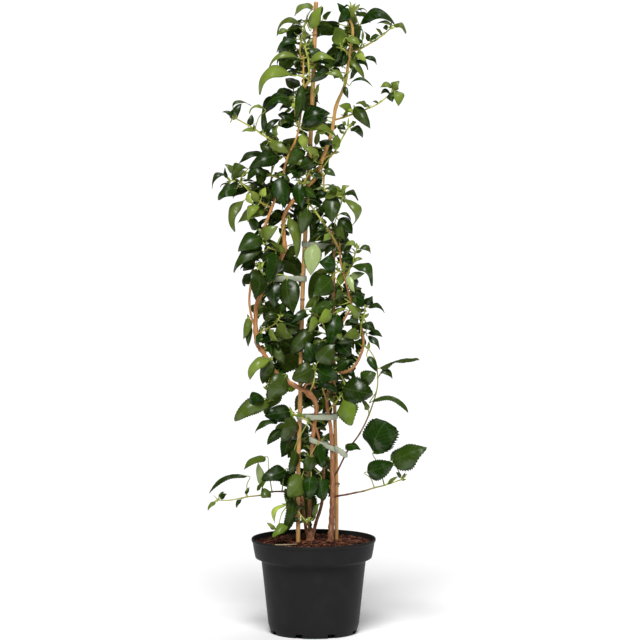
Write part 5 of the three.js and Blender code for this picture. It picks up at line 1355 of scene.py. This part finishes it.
def cane_material(settings):
    """Bamboo: straw colour with darker lengthwise fibres, and a dark line at each joint."""
    g = Graph("bamboo")
    grain = g.attribute("grain", 1)
    joint = g.attribute("joint")
    fibres, clouds = g.noise(grain, 1.6, 4.0), g.noise(grain, 0.2, 2.0)
    colour = g.mix(fibres.step(0.4, 0.75) * 0.5, settings.cane_color, settings.cane_dark)
    colour = g.mix(clouds.step(0.45, 0.75) * 0.6, colour, settings.cane_dark)
    colour = g.mix(joint.step(2.2, 0.3) * 0.7, colour, settings.cane_joint)
    g.set(Base_Color=colour, Roughness=0.45 + fibres * 0.2, Normal=g.bump(fibres, 0.25, 0.5))
    return g.material


def pot_material(settings):
    """Injection-moulded plastic: near black, a fine spark-eroded grain, faint dust and a few scuffs."""
    g = Graph("pot_plastic")
    at = g.place()
    grain, dust = g.noise(at, 2.6, 3.0), g.noise(at, 0.04, 4.0)
    scuff = g.noise(g.place((1, 1, 0.15)), 0.5, 4.0)
    colour = g.mix(dust.step(0.45, 0.8) * 0.2, settings.color, settings.dust_color)
    colour = g.mix(scuff.step(0.66, 0.8) * 0.2, colour, settings.dust_color)
    g.set(Base_Color=colour, Roughness=settings.roughness + grain * 0.14, IOR=1.16)
    g.set(Normal=g.bump(grain, 0.12, 0.35))
    return g.material


def soil_material(settings):
    """Soil: dark crumbs and red-brown coir, told apart by noise at two scales."""
    g = Graph("soil")
    at = g.place()
    crumbs, patches = g.noise(at, 0.55, 6.0, 0.65), g.noise(at, 0.09, 3.0)
    colour = g.mix(crumbs.step(0.35, 0.7), settings.dark, settings.brown)
    colour = g.mix(patches.step(0.5, 0.8) * 0.5, colour, settings.dark)
    g.set(Base_Color=colour, Roughness=0.95, Normal=g.bump(crumbs, 2.0, 0.9), IOR=1.2)
    return g.material


def tinted_material(name, roughness, grain_scale, depth):
    """A material whose colour the piece carries, with a fine grain."""
    g = Graph(name)
    grain = g.noise(g.place(), grain_scale, 4.0)
    colour = g.mix(grain.step(0.3, 0.8) * 0.35, g.attribute("tint", 0), (0.02, 0.012, 0.008))
    g.set(Base_Color=colour, Roughness=roughness + grain * 0.1, Normal=g.bump(grain, depth, 0.6))
    return g.material


def strap_material(settings):
    """Soft tie: grey-green film with creases across it and soil dust."""
    g = Graph("soft_tie")
    at = g.place()
    crease, dust = g.noise(g.place((1, 1, 0.2)), 0.6, 3.0), g.noise(at, 0.25, 4.0)
    colour = g.mix(crease.step(0.4, 0.8) * 0.6, settings.strap_color, settings.strap_dark)
    colour = g.mix(dust.step(0.6, 0.8) * 0.4, colour, (0.1, 0.07, 0.04))
    g.set(Base_Color=colour, Roughness=0.55 + dust * 0.2, Normal=g.bump(crease, 0.4, 0.5))
    return g.material


# Pieces


def dressed(skin, node, materials):
    """The finer piece that takes a solid's place."""
    piece = skin.build(node + "_dressed", materials)
    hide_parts(node)
    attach(piece, "root")


def blade_rows(toothed, teeth):
    """Rows of a blade's grid. A toothed rim has one at each tooth's point and at each notch."""
    if not toothed:
        return (1 - np.cos(np.pi * np.linspace(0, 1, SMOOTH_ROWS)[:-1])) / 2
    notches, points = [RIM_FOOT + RIM_SPAN * (np.arange(teeth) + k) / teeth for k in (0, TOOTH_POINT)]
    return np.sort(np.concatenate([[0, RIM_FOOT / 2], points, notches]))


def blade_faces(rows, columns):
    """Faces of a closed blade: an upper and a lower grid that share their rim, their base row and their tip.

    Upper points come first, row after row, then the lower points inside the rim, then the tip.
    """
    upper = np.arange(rows * columns).reshape(rows, columns)
    lower = upper.copy()
    inner = (rows - 1) * (columns - 2)
    lower[1:, 1:-1] = rows * columns + np.arange(inner).reshape(rows - 1, columns - 2)
    tip = rows * columns + inner
    quads = []
    tris = []
    for layer, flip in ((upper, True), (lower, False)):
        q = np.stack([layer[:-1, :-1], layer[:-1, 1:], layer[1:, 1:], layer[1:, :-1]], -1).reshape(-1, 4)
        t = np.stack([layer[-1, :-1], layer[-1, 1:], np.full(columns - 1, tip)], -1)
        quads.append(q[:, ::-1] if flip else q)
        tris.append(t[:, ::-1] if flip else t)
    return [np.concatenate(quads), np.concatenate(tris)]


def add_blade(skin, leaf, rng, thickness):
    """One leaf blade.

    The middle surface is midrib(s) + v * across - n * drop, where v runs to plus or minus the half width.
    The drop adds a fold, a boat shape, ripples, bulges between veins and a hanging tip. Across and n turn
    about the midrib from base to tip, and the midrib bends sideways. Teeth widen the rim towards each
    tooth's point. The thickness fades to nothing at the rim.
    """
    toothed = leaf["kind"] in TOOTHED
    length = np.linalg.norm(leaf["tip"] - leaf["base"])
    teeth = int(np.clip(length / TOOTH_STEP, *TEETH))
    s, share = blade_rows(toothed, teeth), np.linspace(-1, 1, BLADE_COLUMNS)
    half = half_width(np.maximum(s, 1e-6), leaf["kind"]) * leaf["width"] / 2
    if toothed:
        saw = ((s - RIM_FOOT) / RIM_SPAN * teeth + 1e-6) % 1 / TOOTH_POINT
        half = half * np.where(s > 0.9 * RIM_FOOT, TOOTH_ROOT + TOOTH_DEPTH * np.minimum(saw, 1), 1)
    half = np.maximum(half, np.where(s < 0.1, PETIOLE_RADIUS * 0.8, 0))
    centre, way, across = midrib(leaf, s)
    normal = np.cross(way, across)
    turn = (rng.uniform(-TWIST, TWIST) * s)[:, None]
    cosine, sine = np.cos(turn), np.sin(turn)
    across, normal = across * cosine + normal * sine, normal * cosine - across * sine
    bow = (4 * s * (1 - s))[:, None]
    centre = centre + (across * rng.uniform(-BEND, BEND) * length + normal * LIFT * min(1, length / 25)) * bow
    v = half[:, None] * share[None] * (1 + rng.uniform(-LOPSIDED, LOPSIDED) * share[None])
    spacing = np.clip(length / VEIN_SHARE, *VEIN_STEPS)
    vein = (s[:, None] * length - VEIN_SLANT * np.abs(v)) / spacing
    phase, waves = rng.uniform(0, 6.3), RIPPLE * leaf["width"] * rng.uniform(0.3, 1)
    ripple = waves * np.sin(2 * np.pi * RIPPLE_WAVES * s[:, None] + phase + share[None]) * share[None] ** 2
    quilt = QUILT * spacing * np.cos(2 * np.pi * vein)
    quilt = quilt * (1 - share[None] ** 4) * np.minimum(s[:, None] * 6, 1)
    fold = FOLD * (np.sqrt(v**2 + 0.3) - 0.55) + BOAT * v**2 / (leaf["width"] / 2)
    hang = TIP_CURL * length * rng.uniform(0.3, 1.7)
    curl = hang * (np.maximum(s - CURL_FROM, 0)[:, None] / (1 - CURL_FROM)) ** 2
    drop = fold + ripple + quilt * (0.6 if toothed else 0.4) + curl
    middle = centre[:, None] + across[:, None] * v[..., None] - normal[:, None] * drop[..., None]
    thick = thickness / 2 * (1 - share[None] ** 4) * np.minimum(s[:, None] * 8, 1)
    upper = (middle + normal[:, None] * thick[..., None]).reshape(-1, 3)
    lower = (middle - normal[:, None] * thick[..., None])[1:, 1:-1].reshape(-1, 3)
    end = midrib(leaf, 1.0)[0] - normal[-1] * hang
    rows, columns = len(s), len(share)
    flat = np.stack([v, vein, np.ones_like(v)], -1)
    under = flat[1:, 1:-1].reshape(-1, 3) * [1, 1, 0]
    carried = np.concatenate([flat.reshape(-1, 3), under, [[0, 0.5, 1]]])
    points = np.concatenate([upper, lower, [end]])
    tint = TINTS[leaf["kind"]] * 2 ** (TINT_SPREAD * rng.uniform(-1, 1))
    tint = tint + (TINTS["m"] - tint) * TINT_PALING * rng.uniform(0, 1) ** 3
    skin.add(points, blade_faces(rows, columns), 0, blade=carried, tint=tint)


def add_stalk(skin, curve, radius, sides, tint):
    """A green tube whose material is that of petioles. It has no veins."""
    points, faces, _, _ = tube(curve, radius, sides)
    skin.add(points, faces, 1, blade=[0, 0.5, 1], tint=tint)


def add_petiole(skin, leaf, nodes):
    """A petiole: a curve from the shoot through its lifted middle, that meets the blade's own direction."""
    line = petiole_line(leaf, nodes)
    _, way, _ = midrib(leaf, 0.02)
    length = np.linalg.norm(line[-1] - line[0])
    inside = leaf["base"] + way * min(2.5, 0.1 * np.linalg.norm(leaf["tip"] - leaf["base"]))
    bend = leaf["base"] - way * min(0.3 * length, 4.0) if length > 7 else (line[0] + leaf["base"]) / 2
    path = np.concatenate([line[:-1], [bend], [inside]])
    curve = smooth_line(path, 1.6)
    _, t = share_along(curve)
    radius = PETIOLE_RADIUS * (1.05 - 0.35 * t + 0.35 * np.exp(-((t * length / 1.6) ** 2)))
    add_stalk(skin, curve, radius, 6, TOOTHED_STALK if leaf["kind"] in TOOTHED else SMOOTH_STALK)


def add_tip_buds(skin, line, rng, thickness):
    """A pair of unfolding leaves at the end of a shoot."""
    way = unit(line[-1] - line[-2])
    turn = rng.uniform(0, np.pi)
    side = unit(np.cross(way, [math.cos(turn), math.sin(turn), 0.3]))
    for sign in (-1, 1):
        tip = line[-1] + (way * 0.75 + side * sign * 0.6 + [0, 0, 0.35]) * rng.uniform(5.5, 8.5)
        foot, width = line[-1] - way * 0.5, rng.uniform(2.6, 3.8)
        bud = {"base": foot, "tip": tip, "width": width, "arch": -0.6, "roll": 30, "kind": "y"}
        add_blade(skin, bud, rng, thickness)


def add_axil_leaves(skin, node, rng, thickness):
    """A pair of small young leaves that stand up from a node, one to each side."""
    turn = rng.uniform(0, np.pi)
    for sign in (-1, 1):
        way = unit(np.array([math.cos(turn) * sign, math.sin(turn) * sign, rng.uniform(0.2, 1.1)]))
        length = rng.uniform(*AXIL_LENGTHS)
        small = {
            "base": node + way * 0.6, "tip": node + way * length, "width": length * rng.uniform(0.36, 0.5),
            "arch": length * 0.12, "roll": rng.uniform(10, 60), "kind": rng.choice(list(AXIL_KINDS)),
        }
        add_blade(skin, small, rng, thickness * 0.7)


def leafy_piece(shoot, settings, materials):
    """One shoot: its stem with a swelling at each node, its petioles and blades, and the buds at its end."""
    rng = np.random.default_rng(sum(map(ord, shoot["name"])))
    skin = Skin()
    line, nodes = shoot["line"], shoot["line"][1:]
    curve = smooth_line(np.concatenate([[shoot["heart"]], line]), 1.5)
    _, t = share_along(curve)
    near = np.linalg.norm(curve[:, None] - nodes[None], axis=-1).min(axis=1)
    radius = shoot["radius"] * (1 - 0.4 * t) * (1 + 0.22 * np.exp(-((near / 1.5) ** 2)))
    woody = shoot["name"] in WOODY_SHOOTS
    old = WOODY_SHOOT if woody else OLD_SHOOT
    ages = np.concatenate([np.repeat(t, SHOOT_SIDES), [0, 1]])[:, None]
    tint = old + (YOUNG_SHOOT - old) * np.clip(ages * 1.6 - 0.5 * woody, 0, 1)
    add_stalk(skin, curve, radius, SHOOT_SIDES, tint)
    spots = stations(line, INNER_STEP)[1:]
    for leaves, places in ((shoot["leaves"], nodes), (shoot["inner"], spots)):
        for leaf in leaves:
            add_petiole(skin, leaf, places)
            add_blade(skin, leaf, rng, settings.thickness)
    for node in nodes[: 0 if woody else -1]:
        add_axil_leaves(skin, node, rng, settings.thickness)
    add_tip_buds(skin, line, rng, settings.thickness)
    dressed(skin, shoot["name"], materials)


def sprouts_piece(name, leaves, settings, materials):
    """The leaves that stand on a woody stem, each on its own petiole."""
    rng = np.random.default_rng(len(leaves))
    skin = Skin()
    for leaf, spots in leaves:
        add_petiole(skin, leaf, spots)
        add_blade(skin, leaf, rng, settings.thickness)
    piece = skin.build(name + "_sprouts", materials)
    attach(piece, "root")


def stem_piece(name, branches, settings, material):
    """A woody stem: a smooth tube along each branch, thicker at knots and uneven all along."""
    skin = Skin()
    for number, branch in enumerate(branches):
        curve = smooth_line(seen(branch["points"]), 1.6)
        run, t = share_along(curve)
        base = blend(branch["radii"], t)
        end = np.clip((run[-1] - run) / (2 * base[-1]), 0.0, 1.0)
        base = base * np.interp(curve[:, 2], BARK_HEIGHTS, STEM_SHARE)
        base = base * np.sqrt(np.maximum(1 - (1 - end) ** 2, 0.02))
        points, faces, angles, runs = tube(curve, base, BARK_SIDES)
        spoke = points[:-2] - np.repeat(curve, BARK_SIDES, axis=0)
        lump = sum(smooth_noise(points[:-2], size, seed + number) * high for size, seed, high in BARK_LUMPS)
        for knot, size in KNOTS:
            off = np.linalg.norm(points[:-2] - seen(knot), axis=1)
            lump = lump + size * np.exp(-((off / KNOT_SPREAD) ** 2))
        points[:-2] += spoke * lump[:, None]
        radius = np.concatenate([np.repeat(base, BARK_SIDES), base[[0, -1]]])
        grain = np.column_stack([np.cos(angles) * radius, np.sin(angles) * radius, runs * 0.12])
        ages = zip(settings.old_bark, settings.young_bark, settings.green_bark)
        tint = np.stack([np.interp(points[:, 2], BARK_HEIGHTS, channel) for channel in ages], -1)
        skin.add(points, faces, 0, grain=grain, tint=tint)
    dressed(skin, name, [material])


def cane_piece(name, cane, material):
    """A bamboo cane: a tube that swells at each joint, with a groove under the swelling."""
    top = seen(cane["points"])
    line = np.concatenate([[[top[0, 0], top[0, 1], CANE_FOOT]], top])
    curve = smooth_line(line, 1.2)
    joints = np.array(cane["joints"], float)
    off = curve[:, 2][:, None] - joints[None]
    swell = 0.16 * np.exp(-((off / 1.3) ** 2)) - 0.1 * np.exp(-(((off + 1.8) / 0.7) ** 2))
    radius = cane["radius"] * (1 + swell.sum(axis=1)) * (1 + 0.02 * np.sin(curve[:, 2] / 17))
    radius[-1] *= 0.8
    points, faces, angles, runs = tube(curve, radius, CANE_SIDES)
    grain = np.column_stack([np.cos(angles) * 2.5, np.sin(angles) * 2.5, runs * 0.05])
    near = np.abs(points[:, 2][:, None] - joints[None]).min(axis=1)
    skin = Skin()
    skin.add(points, faces, 0, grain=grain, joint=near[:, None])
    dressed(skin, name, [material])


def rounded_ring(ring, rounds=3):
    """A closed ring with its corners cut: each edge keeps its points at a quarter and at three quarters."""
    for _ in range(rounds):
        after = np.roll(ring, -1, axis=0)
        ring = np.stack([ring * 0.75 + after * 0.25, ring * 0.25 + after * 0.75], 1).reshape(-1, 3)
    return ring


def band_points(line, way, thick, tall, high):
    """An upright band along a line: line + out * thick + up * tall * high, thick and high going round it."""
    up = np.array([0, 0, 1])
    out = unit(np.cross(way, up))
    sides = out[:, None] * thick[None, :, None]
    return (line[:, None] + sides + up * (tall[:, None] * high[None])[..., None]).reshape(-1, 3)


def tie_piece(name, wood, material):
    """A soft tie: an oval band carried round the rounded turn, uneven in height, some with a free end."""
    ring = rounded_ring(tie_ring(wood, name, SEAT + TIE_SLACK + TIE_THICK / 2 + TIE_ROUNDING))
    way = unit(np.roll(ring, -1, axis=0) - np.roll(ring, 1, axis=0))
    turn = np.linspace(0, 2 * np.pi, len(ring), endpoint=False)
    tall = TIE_HEIGHT / 2 * (1 + 0.1 * np.sin(3 * turn) + 0.06 * np.sin(7 * turn + 1))
    a = np.linspace(0, 2 * np.pi, TIE_SIDES, endpoint=False)
    thick, high = np.cos(a) * TIE_THICK / 2, np.sign(np.sin(a)) * np.abs(np.sin(a)) ** 0.6
    skin = Skin()
    skin.add(band_points(ring, way, thick, tall, high), [loop_faces(len(ring), TIE_SIDES, closed=True)])
    if name in TIE_TAILS:
        add_tail(skin, seen(TIE_TAILS[name]["path"]), TIE_TAILS[name]["width"])
    dressed(skin, name, [material])


def add_tail(skin, path, widths):
    """The free end of a tie: a thin strip along a path, its height at each place given and a little uneven."""
    curve = smooth_line(path, 0.8)
    _, t = share_along(curve)
    tall = blend(widths, t) / 2 * (1 + 0.12 * np.sin(t * 31) + 0.08 * np.sin(t * 57 + 1))
    a = np.linspace(0, 2 * np.pi, TAIL_SIDES, endpoint=False)
    way = unit(np.gradient(curve, axis=0))
    points = band_points(curve, way, TAIL_THICK / 2 * np.cos(a), tall, np.sin(a))
    skin.add(np.concatenate([points, curve[:1], curve[-1:]]), capped_faces(len(curve), TAIL_SIDES))


# The pot's wall: radius and height from the middle of its underside up over the rim and down to its floor
POT_PROFILE = [
    [0, 5], [30, 5], [33, 5], [43, 5], [46.8, 5], [47, 4.4], [47, 0.4], [47.4, 0], [50.8, 0], [51.3, 0.4],
    [53, 5], [53.3, 6], [54.9, 12], [55, 13], [58.9, 50], [61, 70], [62.9, 86.4], [63.3, 88], [64.2, 89.4],
    [68.9, 91], [70, 91.6], [70.6, 92.8], [72.4, 102], [73.7, 110.4], [74, 111.2], [74.8, 111.6], [75, 112.2],
    [75, 114.3], [74.6, 114.9], [74, 115], [73.2, 115], [72.7, 114.7], [72.4, 114], [69.4, 95], [68.6, 93.4],
    [63.4, 90], [62, 87], [57.4, 50], [52.9, 9], [52, 8], [0, 8],
]


def pot_piece(material):
    """The pot: its profile turned round the axis, with its foot raised to the notch height at each notch."""
    outside = np.array(POT_PROFILE)
    notch = 2 * np.pi * (np.arange(FOOT_NOTCHES) + 0.5) / FOOT_NOTCHES + NOTCH_TURN
    half = NOTCH_WIDTH / 2 / NOTCH_RADIUS
    edges = np.concatenate([notch - half, notch - half + 0.004, notch + half - 0.004, notch + half])
    angle = np.concatenate([np.linspace(0, 2 * np.pi, POT_SIDES, endpoint=False), edges])
    angle = np.sort(np.unique(np.round(angle, 6)))
    off = np.abs((angle[:, None] - notch[None] + np.pi) % (2 * np.pi) - np.pi).min(axis=1)
    raised = off < half - 0.002
    radius, height = outside[1:-1].T
    z = np.where(raised[:, None] & (height < NOTCH_HEIGHT)[None], NOTCH_HEIGHT, height[None])
    body = np.stack([np.cos(angle)[:, None] * radius, np.sin(angle)[:, None] * radius, z], -1)
    rows, columns = body.shape[:2]
    points = np.concatenate([body.reshape(-1, 3), [[0, 0, outside[0, 1]], [0, 0, outside[-1, 1]]]])
    first, end = np.arange(rows) * columns, rows * columns
    faces = [loop_faces(rows, columns), fan(first, end, flip=True), fan(first + columns - 1, end + 1)]
    skin = Skin()
    skin.add(points, faces)
    dressed(skin, "pot", [material])


def soil_piece(settings, materials):
    """The soil: a lumpy heap turned down at its edge, closed below, with coir fibres and bark chips on it.

    The height at (x, y) is the mound plus noise of three lengths, and falls off near the pot's wall.
    """
    rings, sides = 60, 160
    share = np.linspace(0, 1, rings + 1)[1:]
    angle = np.linspace(0, 2 * np.pi, sides, endpoint=False)
    radius = SOIL_RADIUS * share
    x, y = np.cos(angle) * radius[:, None], np.sin(angle) * radius[:, None]
    flat = np.stack([x, y, np.zeros_like(x)], -1)
    mound = 2.2 * (1 - share[:, None] ** 2) + 1.2 * smooth_noise(flat, 26, 3) + 1.0 * smooth_noise(flat, 8, 4)
    crumbs = 0.7 * smooth_noise(flat, 3.2, 5) + 0.5 * np.abs(smooth_noise(flat, 1.9, 6))
    z = SOIL_TOP - 1.2 + mound + crumbs - 3.0 * np.maximum(share[:, None] - 0.93, 0) / 0.07
    top = np.stack([x, y, z], -1).reshape(-1, 3)
    wall = [np.stack([np.cos(angle) * r, np.sin(angle) * r, np.full(sides, h)], -1)
            for r, h in SOIL_WALL]
    points = np.concatenate([top, *wall, [[0, 0, SOIL_TOP + 1], [0, 0, SOIL_WALL[-1][1]]]])
    skin = Skin()
    skin.add(points, [part[:, ::-1] for part in capped_faces(rings + len(wall), sides)], 0, tint=[0, 0, 0])
    rng = np.random.default_rng(5)
    for _ in range(settings.fibres):
        add_fibre(skin, rng)
    for root in SURFACE_ROOTS:
        curve = smooth_line(np.array(root, float), 1.0)
        _, t = share_along(curve)
        root_points, root_faces, _, _ = tube(curve, 0.9 - 0.5 * t, 7)
        skin.add(root_points, root_faces, 1, tint=SURFACE_ROOT)
    dressed(skin, "soil", materials)


def add_fibre(skin, rng):
    """A coir fibre or a bark chip: a bent, tapering four-sided sliver that lies on the heap."""
    r, a = (FIBRE_REACH - 1) * math.sqrt(rng.uniform(0.0, 1.0)), rng.uniform(0, 2 * np.pi)
    heading, length = rng.uniform(0, 2 * np.pi), rng.uniform(2.5, 9)
    width = rng.uniform(0.25, 1.5) if rng.uniform() < 0.45 else rng.uniform(0.2, 0.4)
    height = SOIL_TOP + 1.6 - 2.4 * (r / FIBRE_REACH) ** 2 + rng.uniform(-0.3, 0.9)
    middle = np.array([r * math.cos(a), r * math.sin(a), height])
    way = np.array([math.cos(heading), math.sin(heading), rng.uniform(-0.25, 0.25)])
    bend = np.array([-way[1], way[0], 0.4]) * rng.uniform(-1, 1) * length * 0.12
    t = np.linspace(-0.5, 0.5, 4)
    line = middle + t[:, None] * way * length + (0.25 - t[:, None] ** 2) * 4 * bend
    line[:, :2] *= np.minimum(1, FIBRE_REACH / np.maximum(np.linalg.norm(line[:, :2], axis=1), 1))[:, None]
    radius = width * np.array([0.5, 1.0, 0.9, 0.4])
    points, faces, _, _ = tube(line, radius, 4)
    shade = rng.uniform(0, 1)
    skin.add(points, faces, 1, tint=DARK_FIBRE * (1 - shade) + PALE_FIBRE * shade)


# Settings, operators and panel


def color_prop(name, description, default):
    """A colour setting in linear values."""
    return bpy.props.FloatVectorProperty(
        name=name, description=description, default=tuple(map(float, default)), size=3, min=0.0, max=1.0,
        subtype="COLOR",
    )


class PotSettings(bpy.types.PropertyGroup):
    color: color_prop("Plastic", "Colour of the moulded plastic", srgb(34, 33, 33))
    dust_color: color_prop("Dust", "Colour of dust and scuffs on the plastic", srgb(52, 51, 51))
    roughness: bpy.props.FloatProperty(
        name="Roughness", description="Roughness of the moulded plastic", default=0.42, min=0.0, max=1.0,
        subtype="FACTOR",
    )


class SoilSettings(bpy.types.PropertyGroup):
    dark: color_prop("Crumbs", "Colour of damp crumbs", srgb(26, 11, 7))
    brown: color_prop("Coir", "Colour of coir", srgb(66, 28, 16))
    fibres: bpy.props.IntProperty(
        name="Fibres", description="Loose fibres and chips on the soil", default=900, min=0, max=3000,
    )


class WoodSettings(bpy.types.PropertyGroup):
    old_bark: color_prop("Old bark", "Colour of the lowest bark", srgb(140, 92, 66))
    young_bark: color_prop("Young bark", "Colour of the upper bark", srgb(204, 142, 84))
    green_bark: color_prop("Greenish bark", "Colour of the topmost bark", srgb(206, 168, 88))
    peel_color: color_prop("Peeling bark", "Colour of peeling strips", srgb(224, 182, 140))
    furrow_color: color_prop("Furrows", "Colour of furrows in the bark", srgb(112, 62, 34))
    cane_color: color_prop("Bamboo", "Colour of the canes", srgb(206, 158, 96))
    cane_dark: color_prop("Bamboo fibre", "Colour of darker fibres in the canes", srgb(158, 100, 52))
    cane_joint: color_prop("Bamboo joint", "Colour of the lines at a cane's joints", srgb(84, 56, 34))
    strap_color: color_prop("Tie", "Colour of the soft ties", srgb(164, 170, 146))
    strap_dark: color_prop("Tie crease", "Colour of creases in the ties", srgb(126, 134, 112))


class FoliageSettings(bpy.types.PropertyGroup):
    thickness: bpy.props.FloatProperty(
        name="Blade thickness", description="Thickness of a blade at its middle, in millimetres", default=0.5,
        min=0.2, max=1.0,
    )
    gloss_roughness: bpy.props.FloatProperty(
        name="Gloss", description="Roughness of a blade's upper face", default=0.24, min=0.0, max=1.0,
        subtype="FACTOR",
    )
    vein_color: color_prop("Veins", "Colour of midrib and side veins", srgb(104, 130, 66))
    underside_color: color_prop("Underside", "Colour that pales a blade's lower face", srgb(92, 116, 40))
    stalk_blush: color_prop("Stalk blush", "Reddish patches of petioles and shoots", srgb(176, 112, 62))


class StageSettings(bpy.types.PropertyGroup):
    distance: bpy.props.FloatProperty(
        name="Camera distance", description="From the camera to the plant", default=EYE_DISTANCE * MM,
        min=1.0, unit="LENGTH",
    )
    elevation: bpy.props.FloatProperty(
        name="Camera elevation", description="How far the camera looks down", default=math.radians(6.1),
        subtype="ANGLE",
    )
    focal: bpy.props.FloatProperty(
        name="Focal length", description="Focal length on a 36 mm sensor, in millimetres", default=282.7,
        min=1.0,
    )
    floor_color: color_prop("Floor", "Colour of the floor", (0.97, 0.97, 0.97))


class HYDRANGEA_OT_pot(bpy.types.Operator):
    """Build the nursery pot"""

    bl_idname = "hydrangea.pot"
    bl_label = "Pot"

    def execute(self, context):
        pot_piece(pot_material(context.scene.hydrangea_pot))
        return {"FINISHED"}


class HYDRANGEA_OT_soil(bpy.types.Operator):
    """Build the soil with its fibres and roots"""

    bl_idname = "hydrangea.soil"
    bl_label = "Soil"

    def execute(self, context):
        settings = context.scene.hydrangea_soil
        soil_piece(settings, [soil_material(settings), tinted_material("coir_fibre", 0.85, 0.8, 0.3)])
        return {"FINISHED"}


class HYDRANGEA_OT_wood(bpy.types.Operator):
    """Build the canes, the woody stems and the ties round them"""

    bl_idname = "hydrangea.wood"
    bl_label = "Canes, stems and ties"

    def execute(self, context):
        settings = context.scene.hydrangea_wood
        bamboo, bark, strap = cane_material(settings), bark_material(settings), strap_material(settings)
        for name, cane in CANES.items():
            cane_piece(name, cane, bamboo)
        for name, branches in STEMS.items():
            stem_piece(name, branches, settings, bark)
        wood = wood_samples()
        for name in TIES:
            tie_piece(name, wood, strap)
        return {"FINISHED"}


class HYDRANGEA_OT_foliage(bpy.types.Operator):
    """Build every leafy shoot, at the front and at the back"""

    bl_idname = "hydrangea.foliage"
    bl_label = "Leafy shoots"

    def execute(self, context):
        settings = context.scene.hydrangea_foliage
        materials = [leaf_material(settings), stalk_material(settings)]
        wood = wood_samples()
        planned, space = planned_shoots(wood)
        for shoot in planned:
            leafy_piece(shoot, settings, materials)
        for name, leaves in wood_leaves(space, wood, planned).items():
            sprouts_piece(name, leaves, settings, materials)
        return {"FINISHED"}


def soft_sun(name, place, strength, spread):
    """Even light from the side of a place, as from a large softbox far away: its spread in degrees."""
    light = bpy.data.lights.new(name, "SUN")
    light.energy, light.angle = strength, math.radians(spread)
    lamp = bpy.data.objects.new(name, light)
    bpy.context.scene.collection.objects.link(lamp)
    turn_to(lamp, np.array(place, float), np.zeros(3))


def turn_to(thing, place, aim):
    """Places a lamp or camera and turns its -Z to a point, with its X level."""
    back = unit(place - aim)
    right = unit(np.cross([0, 0, 1], back))
    up = np.cross(back, right)
    matrix = np.eye(4)
    matrix[:3, 0], matrix[:3, 1], matrix[:3, 2], matrix[:3, 3] = right, up, back, place
    thing.matrix_world = Matrix(matrix.tolist())


class HYDRANGEA_OT_stage(bpy.types.Operator):
    """Set the floor, the lights, the sky and the camera"""

    bl_idname = "hydrangea.stage"
    bl_label = "Stage"

    def execute(self, context):
        settings = context.scene.hydrangea_stage
        skin = Skin()
        corners = np.array([[-1, -1, 0], [1, -1, 0], [1, 1, 0], [-1, 1, 0]]) * FLOOR_HALF
        skin.add(corners, [np.array([[0, 1, 2, 3]])])
        g = Graph("floor")
        tone = g.noise(g.place(), 0.002, 2.0)
        floor_color = np.array(settings.floor_color)
        g.set(Base_Color=g.mix(tone * 0.3, floor_color, floor_color * 0.98), Roughness=0.8)
        skin.build("floor", [g.material])
        world = bpy.data.worlds.new("soft_sky")
        world.use_nodes = True
        sky = world.node_tree.nodes["Background"]
        sky.inputs["Color"].default_value = (1.0, 1.0, 1.0, 1.0)
        sky.inputs["Strength"].default_value = SKY
        context.scene.world = world
        for name, lamp in LAMPS.items():
            soft_sun(name, *lamp)
        context.scene.view_settings.view_transform = "Standard"
        camera = bpy.data.cameras.new("camera")
        camera.lens, camera.sensor_width, camera.clip_end = settings.focal, 36.0, 100.0
        eye = bpy.data.objects.new("camera", camera)
        context.scene.collection.objects.link(eye)
        aim = np.array(AIM)
        turn_to(eye, aim + np.array([0, -1.0, math.tan(settings.elevation)]) * settings.distance, aim)
        context.scene.camera = eye
        return {"FINISHED"}


class HYDRANGEA_PT_panel(bpy.types.Panel):
    """Lists the pieces and their settings"""

    bl_idname = "HYDRANGEA_PT_panel"
    bl_label = "Hydrangea"
    bl_space_type = "VIEW_3D"
    bl_region_type = "UI"
    bl_category = "Hydrangea"

    def draw(self, context):
        for operator in OPERATORS:
            self.layout.operator(operator.bl_idname)
        for name, group in SETTINGS.items():
            box = self.layout.box()
            for key in group.__annotations__:
                box.prop(getattr(context.scene, name), key)


OPERATORS = [
    HYDRANGEA_OT_pot, HYDRANGEA_OT_soil, HYDRANGEA_OT_wood, HYDRANGEA_OT_foliage, HYDRANGEA_OT_stage,
]
SETTINGS = {
    "hydrangea_pot": PotSettings, "hydrangea_soil": SoilSettings, "hydrangea_wood": WoodSettings,
    "hydrangea_foliage": FoliageSettings, "hydrangea_stage": StageSettings,
}


def register():
    for cls in [*SETTINGS.values(), *OPERATORS, HYDRANGEA_PT_panel]:
        bpy.utils.register_class(cls)
    for name, group in SETTINGS.items():
        setattr(bpy.types.Scene, name, bpy.props.PointerProperty(type=group))


def unregister():
    for name in SETTINGS:
        delattr(bpy.types.Scene, name)
    for cls in reversed([*SETTINGS.values(), *OPERATORS, HYDRANGEA_PT_panel]):
        bpy.utils.unregister_class(cls)


def main():
    """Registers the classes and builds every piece."""
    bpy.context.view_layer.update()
    register()
    build = bpy.ops.hydrangea
    for step in (build.pot, build.soil, build.wood, build.foliage, build.stage):
        step()


if __name__ == "__main__":
    main()
